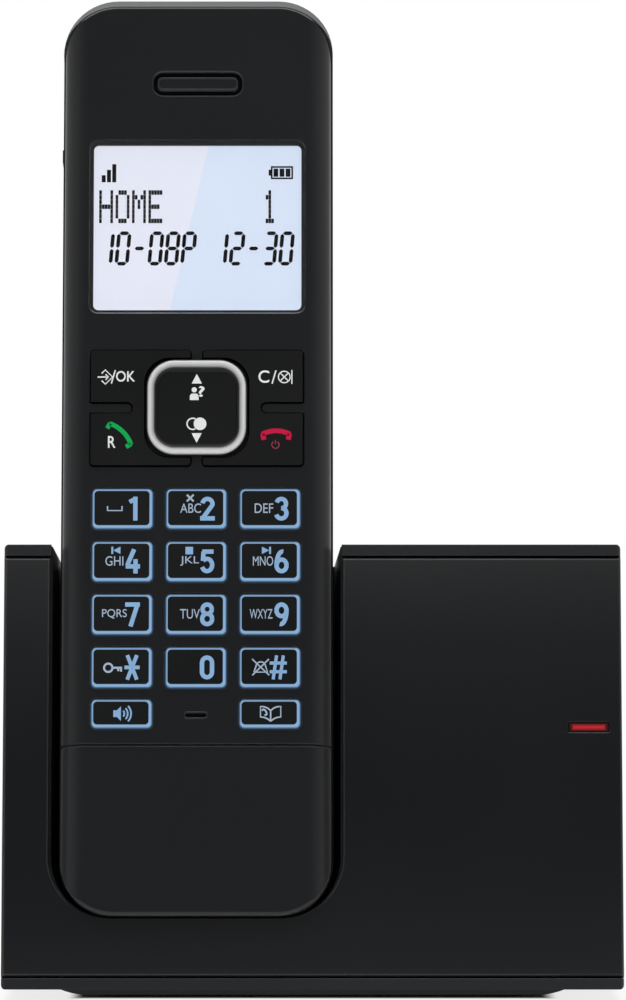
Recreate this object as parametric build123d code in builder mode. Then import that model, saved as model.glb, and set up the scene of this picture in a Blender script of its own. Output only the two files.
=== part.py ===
from build123d import *
from math import cos, radians, sin, tan
import os

# A cordless telephone: a slim handset that stands in the left part of a leaning charging base.
# Millimetres. +X is to the right, +Y to the back, +Z up. The origin is the middle of the
# footprint, at table height. Every piece is modelled where it sits in the assembled object.

# ---- charging base: outer form
base_width = 110.0
base_depth = 64.0          # footprint, front to back
lean = 12.0                # degrees that the front leans back
face_height = 79.7         # along the leaning front, from its lower edge to the top
top_depth = 29.0           # of the top face, square to the front
back_height = 25.0         # top of the upright lower back wall
edge_height = 2.0          # lower edge of the housing above the table
base_wall = 2.0
base_edge_round = 0.8
top_round = 3.0
back_round = 8.0

# ---- front panel
strip_height = 2.0         # housing strip above and below the panel
panel_groove = 0.25
panel_thickness = 2.2
panel_bevel = 0.4
panel_rib_depth = 3.0
panel_rib_thickness = 1.2
panel_rib_gap = 0.25       # above the status light's board
panel_rib_drop = 7.7       # below the top of the front

# ---- handset: outer form
hand_width = 48.8
hand_length = 167.8
hand_thickness = 25.0
hand_corner = 9.9
hand_back_round = 8.0
hand_seat = 13.2           # height of its lower end along the front
hand_proud = 2.0           # its face stands this far in front of the base
hand_shell = 1.8
hand_face = 2.0            # thickness of the front covers
hand_split = 7.0           # depth of the parting line behind the face
rim_step = 0.4             # front covers are narrower than the rear cover by this on each side
rim_step_top = 2.9
side_round = 4.4           # long rounded edges of the face
face_bevel = 0.3
lip_front = 1.2            # front of the lip round the upper end, behind the face
lip_edge = 0.25            # thickness of the lip at its front
lip_start = 11.8           # lower end of the lip's ramp, below the handset's upper end
chin_height = 30.2         # seam between the chin cover and the front cover
chin_gap = 2.75            # between the seam and the small keys
seam = 0.3
seam_bevel = 0.25
parting_gap = 0.15

# ---- cradle pocket that holds the handset
slot_side = 8.4            # from the left side of the base
slot_gap = 1.5             # beside the handset, at the front
slot_corner = 10.8
slot_draft = 3.0           # degrees, each side narrows towards the back
slot_back_gap = 0.3
pocket_wall = 1.6
rest_height = 0.3          # of the two ribs that carry the handset
rest_width = 2.0
rest_spread = 24.0
rest_root = 0.8            # of the ribs inside the pocket's floor
rest_front_gap = 1.0       # behind the handset's parting line
fit_gap = 0.15             # between pieces that are fitted into one another

# ---- keys
key_width = 11.0
key_height = 7.4
key_corner = 1.0
key_pitch_x = 13.15
key_pitch_y = 9.55
key_proud = 0.45
key_bevel = 0.35
key_gap = 0.25
key_travel = 0.5
small_key_height = 5.3
small_key_rise = 1.25      # the small keys' row is nearer than a full pitch
flange_out = 0.6
flange_gap = 0.7           # between the flanges of neighbouring keys
flange_thickness = 0.9
key_lift_gap = 0.3         # flange below the cover

# ---- function plates and navigation key
plate_inner = 1.15         # distance of a plate from the middle
plate_outer = 18.95
plate_height = 20.9
plate_key_gap = 4.25       # between the first row of digits and the plates
plate_proud = 0.3
plate_corner = 0.5
plate_gap = 0.3
tongue_height = 1.5
tongue_tip = 11.7          # distance of the tongue's end from the middle
rocker_lift_gap = 0.6
rocker_flange = 0.7
rocker_flange_thickness = 0.7
ring_width = 18.24
ring_height = 17.7
ring_band = 1.75
ring_corner = 4.4
ring_proud = 0.9
ring_seat = 0.6            # depth of the ring's seat below the face
ring_gap = 0.3
ring_round = 0.6
nav_proud = 0.35
nav_gap = 0.2

# ---- display, earpiece and microphone
window_width = 37.4
window_plate_gap = 7.65    # between the function plates and the window
window_ear_gap = 8.9       # between the window and the earpiece trough
window_corner = 0.9
lens_border = 0.7
lens_thickness = 1.2
lcd_border = 1.8
lcd_thickness = 1.8
backlight_rim = 0.5
ear_width = 16.1
ear_height = 4.4
ear_corner = 1.8
ear_drop = 17.2
ear_depth = 0.8
grille_width = 14.5
grille_height = 2.45
grille_corner = 0.9
ear_slot_length = 4.2
ear_slot_width = 0.7
earpiece_radius = 9.0
earpiece_rim = 1.5
earpiece_cone = 0.5
mic_width = 4.35
mic_height = 1.35
mic_drop = 0.2             # below the middle of the small keys
mic_radius = 2.0

# ---- inside the handset
dome_gap = 0.35            # between a pressed key and the mat
mat_thickness = 1.0
mat_inset = 0.7            # inside each side of the board
mat_below = 0.95           # beyond the small keys
mat_above = 1.8            # beyond the function plates
board_thickness = 1.2
board_side_gap = 1.4
board_low = 17.0
board_drop = 18.8
board_corner = 1.0
post_radius = 1.3
post_side = 1.6            # inside each side of the board
post_low = 5.0             # above the board's lower end
post_high = 3.0            # below the board's upper end
post_window_gap = 4.0      # below the window
hand_screw_x = 13.5
hand_screw_low = 12.0
hand_screw_drop = 15.9
boss_radius = 3.2
front_boss_radius = 2.7
hand_screw_shank = 1.1
hand_screw_head = 2.1
hand_screw_head_height = 1.4
hand_screw_seat = 11.4     # depth of the screw heads' seats below the face
boss_end = 9.1             # depth at which front and rear bosses meet
boss_cap = 1.0             # solid end of a screw boss
screw_tip_gap = 0.5
screw_fit = 0.05
head_fit = 0.3
ringer_radius = 13.0
ringer_thickness = 5.0
ringer_row = 30.0
ringer_rim = 1.5
sound_slots = 5
sound_pitch = 3.0
sound_width = 1.2
sound_corner = 0.5
shield_width = 24.0
shield_height = 28.0
shield_depth = 2.4
shield_sheet = 0.3
shield_row = 46.0
shield_corner = 1.0
antenna_width = 34.0
antenna_height = 4.0
antenna_sheet = 0.5
antenna_drop = 24.9
lug_drop = 28.5
lug_height = 2.3
lug_proud = 0.25
lug_depth = 5.0
lug_back = 2.0             # behind the parting line

# ---- battery
cell_radius = 5.25
cell_length = 44.5
cell_nub = 1.0
cell_nub_radius = 1.9
cell_gap = 0.5
cell_drop = 68.0
contact_room = 2.5         # at each end of the cells
contact_sheet = 0.4
contact_margin = 1.0
tray_wall = 1.2
door_thickness = 1.6
door_gap = 0.4             # between the cells and the door
door_corner = 1.0
grip_start = 6.0           # below the door's upper end
grip_grooves = 5
grip_pitch = 1.8
grip_width = 0.8
grip_depth = 0.5

# ---- charging contacts
strip_width = 3.0
strip_sheet = 0.4
strip_spread = 11.0
strip_pivot = 20.5         # depth of the strips' fixed ends behind the front
strip_knuckle = 11.2       # depth of the knuckles
strip_touch_gap = 0.25     # between knuckle and handset
strip_ramp = 3.0           # length of the slope behind the knuckle
strip_lip = 1.6            # length of the slope before it
strip_lip_rise = 0.3
strip_tip = 0.8            # length of the tip
strip_tip_drop = 0.2
strip_bend = 0.35
pad_width = 3.4
pad_length = 6.0
pad_sheet = 0.5
strip_slot_gap = 0.5
strip_slot_before = 3.0
strip_slot_behind = 3.6

# ---- underside of the base
sole_height = 0.5          # underside of the bottom plate above the table
sole_inset = 9.2           # from each side of the base
sole_end = 6.3             # length of the curved ends
sole_curve = 14.0
sole_margin = 5.0          # behind the front edge
foot_radius = 4.0
foot_recess = 0.7
foot_side = 11.8           # inside each side of the sole
foot_end = 11.0            # inside the front and the back of the base
base_screw_side = 4.7      # inside each side of the base
base_screw_front = 20.0
base_screw_back = 8.0
base_boss_radius = 2.9
base_boss_height = 10.0
base_screw_shank = 1.2
base_screw_head = 1.9
base_screw_head_height = 1.0
recess_length = 2.4        # of the crossed slots in a screw head
recess_width = 0.4

# ---- inside the base
pcb_pocket_gap = 0.7       # beside the pocket
pcb_side = 8.6             # inside the right side of the base
pcb_front_side = 12.0      # behind the front edge of the base
pcb_back_gap = 0.4
pcb_height = 8.0           # underside above the table
pcb_thickness = 1.6
pcb_post_radius = 2.3
pcb_post_inset = 3.2
pcb_screw_shank = 1.1
pcb_screw_head = 1.8
pcb_screw_head_height = 1.2
can_side = 6.45            # inside each side of the board
can_length = 20.0
can_height = 3.0
can_front = 6.0            # behind the board's front edge
can_corner = 1.0
aerial_height = 18.0
aerial_width = 3.0
aerial_sheet = 0.5
aerial_front = 3.0         # behind the board's front edge
aerial_inset = 4.0         # inside each side of the can
jack_side = 1.6            # from the side edges of the board
line_width = 13.2
line_height = 11.5
line_length = 17.5
line_hole_width = 9.8
line_hole_height = 6.8
line_hole_depth = 12.5
line_latch_width = 6.2
line_latch_height = 1.6
jack_recess = 0.3
power_width = 9.0
power_height = 11.0
power_length = 13.5
power_bore = 3.1
power_bore_depth = 10.0
power_pin = 1.0
power_pin_recess = 1.0
page_back = 29.0           # from the back of the base
page_z = 14.0
page_length = 12.0
page_height = 5.6
page_edge_round = 0.3
page_stroke_gap = 0.7      # stem to switch
switch_size = 5.0
switch_body = 3.6
switch_plunger = 0.8
switch_plunger_radius = 1.2
page_stem_radius = 1.6
led_side = 5.9             # inside the right side of the base
led_row = 46.75
led_width = 7.0
led_height = 1.5
led_corner = 0.3
led_flange = 0.9
led_flange_thickness = 0.8
led_board_depth = 8.2
led_board_width = 11.0
led_board_height = 14.0
led_board_shift = 1.9      # towards the middle of the base
led_post_side = 1.6
led_post_end = 1.8
led_body_radius = 1.5
led_pipe_gap = 0.3

# ---- common to all pieces
over = 1.0                 # by which a cut starts outside the surface that it opens
full_round = 0.498         # corner radius of a rounded end, as a share of its height

# ---- worked out from the sizes above
lean_sin = sin(radians(lean))
lean_cos = cos(radians(lean))
half_width = base_width / 2
half_depth = base_depth / 2
panel_low = strip_height + panel_groove
panel_high = face_height - strip_height - panel_groove
slot_width = hand_width + 2 * slot_gap
hand_x = slot_side + slot_width / 2 - half_width
slot_floor = hand_seat - rest_height
slot_depth = hand_thickness - hand_proud + slot_back_gap
slot_reach = face_height - slot_floor + 2 * slot_corner
pocket_back = slot_depth + pocket_wall
front_width = hand_width - 2 * rim_step
front_corner = hand_corner - rim_step
front_end = hand_length - rim_step_top
lip_end = front_end + parting_gap + lip_edge
lip_ramp = hand_length - lip_start
small_key_row = chin_height + chin_gap + small_key_height / 2
mic_row = small_key_row - mic_drop
key_row_top = small_key_row + 4 * key_pitch_y - small_key_rise
plate_row = key_row_top + key_height / 2 + plate_key_gap + plate_height / 2
ear_row = hand_length - ear_drop
window_low = plate_row + plate_height / 2 + window_plate_gap
window_high = ear_row - ear_height / 2 - window_ear_gap
window_height = window_high - window_low
window_row = (window_low + window_high) / 2
antenna_row = hand_length - antenna_drop
lug_row = hand_length - lug_drop
cell_row = hand_length - cell_drop
hand_screw_rows = (hand_screw_low, hand_length - hand_screw_drop)
mat_low = small_key_row - small_key_height / 2 - mat_below
mat_high = plate_row + plate_height / 2 + mat_above
board_width = hand_width - 2 * hand_shell - 2 * board_side_gap
board_high = hand_length - board_drop
mat_width = board_width - 2 * mat_inset
post_x = board_width / 2 - post_side
post_rows = (board_low + post_low, window_low - post_window_gap, board_high - post_high)
mat_depth = hand_face + key_lift_gap + flange_thickness + key_travel + dome_gap
board_depth = mat_depth + mat_thickness
board_back = board_depth + board_thickness
cell_depth = hand_thickness - door_thickness - door_gap - cell_radius
cell_spread = cell_radius + cell_gap / 2
tray_width = 2 * cell_spread + 2 * cell_radius + cell_gap
tray_length = cell_length + 2 * contact_room
tray_floor = cell_depth - cell_radius - screw_fit
ring_inner_width = ring_width - 2 * ring_band
ring_inner_height = ring_height - 2 * ring_band
sole_side = half_width - sole_inset
foot_x = sole_side - foot_side
foot_y = half_depth - foot_end
base_screw_x = half_width - base_screw_side
base_screw_rows = (base_screw_front - half_depth, half_depth - base_screw_back)
pcb_left = hand_x + slot_width / 2 + pocket_wall + pcb_pocket_gap
pcb_right = half_width - pcb_side
pcb_front = pcb_front_side - half_depth
pcb_back = half_depth - base_wall - pcb_back_gap
pcb_top = pcb_height + pcb_thickness
can_width = pcb_right - pcb_left - 2 * can_side
can_y = pcb_front + can_front + can_length / 2
aerial_y = pcb_front + aerial_front
line_x = pcb_right - jack_side - line_width / 2
power_x = pcb_left + jack_side + power_width / 2
page_y = half_depth - page_back
led_x = half_width - led_side
led_board_x = led_x - led_board_shift
panel_rib_low = led_row + led_board_height / 2 + panel_rib_gap
panel_rib_high = face_height - panel_rib_drop
plate_top = edge_height + base_wall

# ---- planes
# The leaning front of the base: x across, y up along the slope, z out towards the user.
face = Plane(origin=(0, -half_depth, edge_height), x_dir=(1, 0, 0),
             z_dir=(0, -lean_cos, lean_sin))
# The handset's face: the same directions, with the origin at the middle of its lower end.
hand = Plane(origin=face.from_local_coords((hand_x, hand_seat, hand_proud)), x_dir=(1, 0, 0),
             z_dir=face.z_dir)
# Side planes: x is the depth behind the front, y runs up along the slope.
side = Plane(origin=face.origin, x_dir=-face.z_dir, z_dir=(1, 0, 0))
hand_side = Plane(origin=hand.origin, x_dir=-hand.z_dir, z_dir=(1, 0, 0))

os.makedirs("parts", exist_ok=True)


def save(piece, name):
    """Labels a finished piece and writes its file."""
    piece.part.label = name
    export_step(piece.part, f"parts/{name}.step")


def block(plane, spots, size, depth, corner=0, mode=Mode.ADD):
    """Adds or cuts rectangles, with rounded corners if wanted, that go from the plane into its back."""
    with BuildSketch(plane) as outline:
        with Locations(*spots):
            if corner > 0:
                RectangleRounded(*size, corner)
            else:
                Rectangle(*size)
    extrude(outline.sketch, amount=-depth, mode=mode)


def disc(plane, spots, radius, depth, mode=Mode.ADD):
    """Adds or cuts round pegs that go from the plane into its back."""
    with BuildSketch(plane) as outline:
        with Locations(*spots):
            Circle(radius)
    extrude(outline.sketch, amount=-depth, mode=mode)


def both_sides(x, rows):
    """Places left and right of the middle, in each row."""
    return [(turn * x, row) for row in rows for turn in (-1, 1)]


# ==== charging base ====

front_top = (-half_depth + face_height * lean_sin, edge_height + face_height * lean_cos)
rear_top = (front_top[0] + top_depth * lean_cos, front_top[1] - top_depth * lean_sin)

with BuildSketch(Plane.YZ) as housing_profile:
    with BuildLine():
        Polyline((-half_depth, edge_height), front_top, rear_top, (half_depth, back_height),
                 (half_depth, edge_height), close=True)
    make_face()
    fillet(housing_profile.vertices().sort_by_distance((*rear_top, 0))[0], top_round)
    fillet(housing_profile.vertices().sort_by_distance((half_depth, back_height, 0))[0],
           back_round)

with BuildSketch(Plane.YZ) as hollow_profile:
    add(housing_profile.sketch_local)
    offset(amount=-base_wall, mode=Mode.REPLACE)


def slot_outline(plane, extra, inset=0.0, top=None):
    """The pocket's U shape, widened by extra and narrowed by inset on each side."""
    with BuildSketch(plane) as outline:
        with Locations((hand_x, slot_floor - extra + slot_reach / 2)):
            RectangleRounded(slot_width + 2 * extra - 2 * inset, slot_reach, slot_corner + extra)
        if top is not None:
            with Locations((hand_x, top - slot_reach / 2)):
                Rectangle(2 * slot_width, slot_reach, mode=Mode.INTERSECT)
    return outline.sketch


sole_front = -half_depth + sole_margin
sole_back = half_depth - base_wall
sole_middle = (sole_front + sole_back) / 2
plate_depth = sole_back - sole_front
page_wall = Plane(origin=(half_width, page_y, page_z), x_dir=(0, 1, 0), z_dir=(1, 0, 0))
back_wall = Plane(origin=(0, half_depth, 0), x_dir=(-1, 0, 0), z_dir=(0, 1, 0))
page_flange = half_width - base_wall - key_lift_gap
screw_spots = both_sides(base_screw_x, base_screw_rows)

with BuildPart() as base_housing:
    extrude(housing_profile.sketch, amount=half_width, both=True)
    fillet(base_housing.faces().filter_by(Axis.X).edges(), base_edge_round)
    extrude(hollow_profile.sketch, amount=half_width - base_wall, both=True, mode=Mode.SUBTRACT)
    # front opening that the panel fills, the slot in the top strip and the notch of the pocket
    block(face, [(0, face_height / 2)], (base_width + over, face_height - 2 * strip_height),
          panel_thickness, mode=Mode.SUBTRACT)
    extrude(slot_outline(face, 0), amount=-panel_thickness, mode=Mode.SUBTRACT)
    extrude(slot_outline(face.offset(-panel_thickness), pocket_wall + fit_gap),
            amount=-(pocket_back - panel_thickness + fit_gap), mode=Mode.SUBTRACT)
    # underside opening
    block(Plane.XY.offset(plate_top), [(0, sole_middle)],
          (base_width - 2 * base_wall, plate_depth), base_wall, mode=Mode.SUBTRACT)
    # screw bosses along the side walls
    disc(Plane.XY.offset(plate_top + base_boss_height), screw_spots, base_boss_radius,
         base_boss_height)
    disc(Plane.XY.offset(plate_top + base_boss_height - boss_cap), screw_spots,
         base_screw_shank + screw_fit, base_boss_height - boss_cap, Mode.SUBTRACT)
    # openings for the jacks and the page key
    block(back_wall, [(-line_x, pcb_top + line_height / 2)],
          (line_width + 2 * fit_gap, line_height + 2 * fit_gap), base_wall, mode=Mode.SUBTRACT)
    block(back_wall, [(-power_x, pcb_top + power_height / 2)],
          (power_width + 2 * fit_gap, power_height + 2 * fit_gap), base_wall,
          mode=Mode.SUBTRACT)
    block(page_wall, [(0, 0)], (page_length + 2 * key_gap, page_height + 2 * key_gap),
          base_wall, (page_height + 2 * key_gap) * full_round, Mode.SUBTRACT)
save(base_housing, "base_housing")

rib_x = half_width - base_wall - fit_gap - panel_rib_thickness / 2
led_post_x = led_board_x - led_board_width / 2 + led_post_side
led_post_y = led_board_height / 2 - led_post_end
led_posts = [(led_post_x, led_row - led_post_y), (led_post_x, led_row + led_post_y)]

with BuildPart() as base_front_panel:
    block(face, [(0, (panel_low + panel_high) / 2)], (base_width, panel_high - panel_low),
          panel_thickness)
    extrude(slot_outline(face, 0), amount=-panel_thickness, mode=Mode.SUBTRACT)
    front_faces = base_front_panel.faces().sort_by(Axis(face.origin, face.z_dir))
    chamfer(front_faces[-1].edges(), panel_bevel)
    block(face.offset(-panel_thickness), both_sides(rib_x, [(panel_rib_low + panel_rib_high) / 2]),
          (panel_rib_thickness, panel_rib_high - panel_rib_low), panel_rib_depth)
    disc(face.offset(-panel_thickness), led_posts, post_radius, led_board_depth - panel_thickness)
    block(face, [(led_x, led_row)], (led_width + 2 * fit_gap, led_height + 2 * fit_gap),
          panel_thickness, led_corner, Mode.SUBTRACT)
save(base_front_panel, "base_front_panel")

# The pocket's hollow narrows to the back, so that the handset centres itself.
with BuildPart() as slot_hollow:
    front_outline = slot_outline(face.offset(over), 0)
    back_outline = slot_outline(face.offset(-slot_depth), 0, slot_depth * tan(radians(slot_draft)))
    loft([*front_outline.faces(), *back_outline.faces()])

knuckle_height = hand_seat - strip_touch_gap - strip_sheet / 2
strip_low = slot_floor - pocket_wall - strip_sheet / 2
strip_x = [hand_x - strip_spread / 2, hand_x + strip_spread / 2]
strip_slot_low = strip_knuckle - strip_slot_before
strip_slot_high = strip_knuckle + strip_slot_behind
rest_front = hand_split - hand_proud + rest_front_gap
rest_back = hand_thickness - hand_proud - hand_back_round
rest_plane = face.offset(-rest_front)

with BuildPart() as cradle_pocket:
    extrude(slot_outline(face.offset(-panel_thickness), pocket_wall, top=face_height),
            amount=-(pocket_back - panel_thickness))
    add(slot_hollow.part, mode=Mode.SUBTRACT)
    rest_y = hand_seat - (rest_height + rest_root) / 2
    rests = [(hand_x - rest_spread / 2, rest_y), (hand_x + rest_spread / 2, rest_y)]
    block(rest_plane, rests, (rest_width, rest_height + rest_root), rest_back - rest_front)
    block(face.offset(-strip_slot_low), [(x, slot_floor) for x in strip_x],
          (strip_width + 2 * strip_slot_gap, 4 * pocket_wall), strip_slot_high - strip_slot_low,
          mode=Mode.SUBTRACT)
save(cradle_pocket, "cradle_pocket")

# Sprung metal strips: fixed at the back, with a knuckle that stands up through the pocket's floor.
strip_points = ((strip_pivot, strip_low), (strip_knuckle + strip_ramp, strip_low),
                (strip_knuckle, knuckle_height),
                (strip_knuckle - strip_lip, strip_low + strip_lip_rise),
                (strip_knuckle - strip_lip - strip_tip, strip_low - strip_tip_drop))
for name, x in zip(("charge_contact_left", "charge_contact_right"), strip_x):
    with BuildPart() as charge_contact:
        with BuildSketch(side.offset(x - strip_width / 2)) as strip_section:
            with BuildLine() as strip_line:
                FilletPolyline(*strip_points, radius=strip_bend)
            trace(strip_line.line, line_width=strip_sheet)
        extrude(strip_section.sketch, amount=strip_width)
    save(charge_contact, name)

foot_spots = both_sides(foot_x, (-foot_y, foot_y))
pcb_spots = [(x, y) for x in (pcb_left + pcb_post_inset, pcb_right - pcb_post_inset)
             for y in (pcb_front + pcb_post_inset, pcb_back - line_length - pcb_post_inset)]

with BuildPart() as base_bottom_plate:
    block(Plane.XY.offset(plate_top), [(0, sole_middle)],
          (base_width - 2 * base_wall - 2 * fit_gap, plate_depth - 2 * fit_gap), base_wall)
    # the lower step, with curved ends, that carries the feet
    with BuildSketch(Plane.XZ.offset(-sole_front - fit_gap)) as sole_section:
        with BuildLine():
            Line((-sole_side, edge_height), (sole_side, edge_height))
            RadiusArc((sole_side, edge_height), (sole_side - sole_end, sole_height),
                      sole_curve)
            Line((sole_side - sole_end, sole_height), (sole_end - sole_side, sole_height))
            RadiusArc((sole_end - sole_side, sole_height), (-sole_side, edge_height),
                      sole_curve)
        make_face()
    extrude(sole_section.sketch, amount=-(plate_depth - 2 * fit_gap))
    disc(Plane.XY.offset(sole_height + foot_recess), foot_spots, foot_radius + screw_fit,
         foot_recess, Mode.SUBTRACT)
    disc(Plane.XY.offset(plate_top), screw_spots, base_screw_shank + head_fit, base_wall,
         Mode.SUBTRACT)
    disc(Plane.XY.offset(edge_height + base_screw_head_height), screw_spots,
         base_screw_head + head_fit, base_screw_head_height, Mode.SUBTRACT)
    disc(Plane.XY.offset(pcb_height), pcb_spots, pcb_post_radius, pcb_height - plate_top)
    disc(Plane.XY.offset(pcb_height), pcb_spots, pcb_screw_shank + screw_fit,
         pcb_height - plate_top, Mode.SUBTRACT)
save(base_bottom_plate, "base_bottom_plate")

with BuildPart() as base_feet:
    disc(Plane.XY.offset(sole_height + foot_recess), foot_spots, foot_radius,
         sole_height + foot_recess)
    chamfer(base_feet.faces().sort_by(Axis.Z)[:4].edges(), sole_height / 2)
save(base_feet, "base_feet")

with BuildPart() as base_screws:
    head_top = edge_height + base_screw_head_height
    screw_tip = plate_top + base_boss_height - boss_cap - screw_tip_gap
    disc(Plane.XY.offset(head_top), screw_spots, base_screw_head, base_screw_head_height)
    disc(Plane.XY.offset(screw_tip), screw_spots, base_screw_shank, screw_tip - head_top)
    with BuildSketch(Plane.XY.offset(edge_height)) as slots:
        with Locations(*screw_spots):
            Rectangle(recess_length, recess_width)
            Rectangle(recess_width, recess_length)
    extrude(slots.sketch, amount=base_screw_head_height / 2, mode=Mode.SUBTRACT)
save(base_screws, "base_screws")

pcb_x = (pcb_left + pcb_right) / 2
with BuildPart() as base_board:
    block(Plane.XY.offset(pcb_top), [(pcb_x, (pcb_front + pcb_back) / 2)],
          (pcb_right - pcb_left, pcb_back - pcb_front), pcb_thickness)
    disc(Plane.XY.offset(pcb_top), pcb_spots, pcb_screw_shank + head_fit, pcb_thickness,
         Mode.SUBTRACT)
save(base_board, "base_board")

with BuildPart() as board_screws:
    disc(Plane.XY.offset(pcb_top + pcb_screw_head_height), pcb_spots, pcb_screw_head,
         pcb_screw_head_height)
    disc(Plane.XY.offset(pcb_top), pcb_spots, pcb_screw_shank,
         pcb_top - plate_top - screw_fit)
save(board_screws, "board_screws")

with BuildPart() as base_radio_can:
    block(Plane.XY.offset(pcb_top + can_height), [(pcb_x, can_y)], (can_width, can_length),
          can_height, can_corner)
    block(Plane.XY.offset(pcb_top + can_height - shield_sheet), [(pcb_x, can_y)],
          (can_width - 2 * shield_sheet, can_length - 2 * shield_sheet),
          can_height - shield_sheet, can_corner - shield_sheet, Mode.SUBTRACT)
save(base_radio_can, "base_radio_can")

aerial_spread = can_width / 2 - aerial_inset
with BuildPart() as base_aerials:
    block(Plane.XY.offset(pcb_top + aerial_height),
          [(pcb_x - aerial_spread, aerial_y), (pcb_x + aerial_spread, aerial_y)],
          (aerial_width, aerial_sheet), aerial_height)
save(base_aerials, "base_aerials")

jack_face = back_wall.offset(-jack_recess)
line_middle = pcb_top + line_height / 2
with BuildPart() as line_jack:
    block(jack_face, [(-line_x, line_middle)], (line_width, line_height), line_length)
    block(jack_face, [(-line_x, line_middle)], (line_hole_width, line_hole_height),
          line_hole_depth, mode=Mode.SUBTRACT)
    block(jack_face, [(-line_x, line_middle - line_hole_height / 2 - line_latch_height / 2)],
          (line_latch_width, line_latch_height + screw_fit), line_hole_depth,
          mode=Mode.SUBTRACT)
save(line_jack, "line_jack")

power_middle = pcb_top + power_height / 2
with BuildPart() as power_jack:
    block(jack_face, [(-power_x, power_middle)], (power_width, power_height), power_length)
    disc(jack_face, [(-power_x, power_middle)], power_bore, power_bore_depth, Mode.SUBTRACT)
save(power_jack, "power_jack")

with BuildPart() as power_jack_pin:
    disc(jack_face.offset(-power_pin_recess), [(-power_x, power_middle)], power_pin,
         power_bore_depth - power_pin_recess)
    fillet(power_jack_pin.faces().sort_by(Axis.Y)[-1].edges(), power_pin / 2)
save(power_jack_pin, "power_jack_pin")

# Page key: a cap in the right wall, a flange behind the wall and a stem to the switch.
switch_end = pcb_right + switch_plunger
stem_end = switch_end + page_stroke_gap
with BuildPart() as page_key:
    block(page_wall, [(0, 0)], (page_length, page_height), half_width - page_flange,
          page_height * full_round)
    fillet(page_key.faces().sort_by(Axis.X)[-1].edges(), page_edge_round)
    block(page_wall.offset(page_flange - half_width), [(0, 0)],
          (page_length + 2 * (key_gap + flange_out), page_height + 2 * (key_gap + flange_out)),
          flange_thickness, page_height / 2)
    disc(page_wall.offset(page_flange - half_width), [(0, 0)], page_stem_radius,
         page_flange - stem_end)
save(page_key, "page_key")

switch_plane = Plane(origin=(pcb_right, page_y, page_z), x_dir=(0, 1, 0), z_dir=(1, 0, 0))
switch_low = page_z - pcb_top
with BuildPart() as page_switch:
    block(switch_plane, [(0, (switch_size / 2 - switch_low) / 2)],
          (switch_size, switch_low + switch_size / 2), switch_body)
    disc(switch_plane.offset(switch_plunger), [(0, 0)], switch_plunger_radius, switch_plunger)
save(page_switch, "page_switch")

with BuildPart() as led_lens:
    block(face, [(led_x, led_row)], (led_width, led_height), panel_thickness, led_corner)
    block(face.offset(-panel_thickness), [(led_x, led_row)],
          (led_width - led_flange, led_height + 2 * led_flange), led_flange_thickness,
          led_corner)
    disc(face.offset(-panel_thickness - led_flange_thickness), [(led_x, led_row)],
         led_height, led_board_depth - panel_thickness - led_flange_thickness
         - 2 * led_body_radius - led_pipe_gap)
save(led_lens, "led_lens")

with BuildPart() as led_board:
    block(face.offset(-led_board_depth), [(led_board_x, led_row)],
          (led_board_width, led_board_height), board_thickness)
save(led_board, "led_board")

with BuildPart() as status_led:
    disc(face.offset(-led_board_depth + led_body_radius), [(led_x, led_row)], led_body_radius,
         led_body_radius)
    with Locations(face.offset(-led_board_depth + led_body_radius)):
        with Locations((led_x, led_row, 0)):
            Sphere(led_body_radius)
save(status_led, "status_led")


# ==== handset ====

def tub(inset, depth, rounding):
    """The rear cover's form: a rounded tray, inset on all sides, with a rounded back."""
    with BuildPart() as form:
        block(hand.offset(-hand_split), [(0, hand_length / 2)],
              (hand_width - 2 * inset, hand_length - 2 * inset), depth, hand_corner - inset)
        back = form.faces().sort_by(Axis(hand.origin, hand.z_dir))[0]
        fillet(back.edges(), rounding)
    return form.part


hand_inner = hand_thickness - hand_shell
hand_screw_spots = both_sides(hand_screw_x, hand_screw_rows)
rear_posts = both_sides(post_x, (post_rows[0], post_rows[-1]))
tray_size = (tray_width + 2 * tray_wall, tray_length + 2 * tray_wall)
pad_spots = [(turn * strip_spread / 2, pad_sheet / 2) for turn in (-1, 1)]
pad_plane = hand.offset(-(strip_knuckle + hand_proud - pad_length / 2))
sound_spots = [(0, ringer_row + (step - (sound_slots - 1) / 2) * sound_pitch)
               for step in range(sound_slots)]

# The lip stands up round the upper end of the front cover and slants back to the parting line.
with BuildPart() as end_lip:
    with BuildSketch(hand.offset(-hand_split)) as lip_root:
        with Locations((0, hand_length / 2)):
            RectangleRounded(hand_width, hand_length, hand_corner)
    with BuildSketch(hand.offset(-lip_front)) as lip_tip:
        with Locations((0, lip_end / 2)):
            RectangleRounded(hand_width, lip_end, hand_corner)
    loft([*lip_root.sketch.faces(), *lip_tip.sketch.faces()])
    block(hand, [(0, front_end / 2)],
          (front_width + 2 * parting_gap, front_end + 2 * parting_gap), hand_split,
          front_corner + parting_gap, Mode.SUBTRACT)
    with BuildSketch(hand_side) as lip_side:
        with BuildLine():
            Polyline((hand_split, lip_ramp), (lip_front, lip_ramp + hand_split - lip_front),
                     (lip_front, hand_length + over), (hand_split, hand_length + over),
                     close=True)
        make_face()
    extrude(lip_side.sketch, amount=hand_width, both=True, mode=Mode.INTERSECT)

rear_outer = tub(0, hand_thickness - hand_split, hand_back_round)
rear_hollow = tub(hand_shell, hand_inner - hand_split, hand_back_round - hand_shell)

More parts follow.
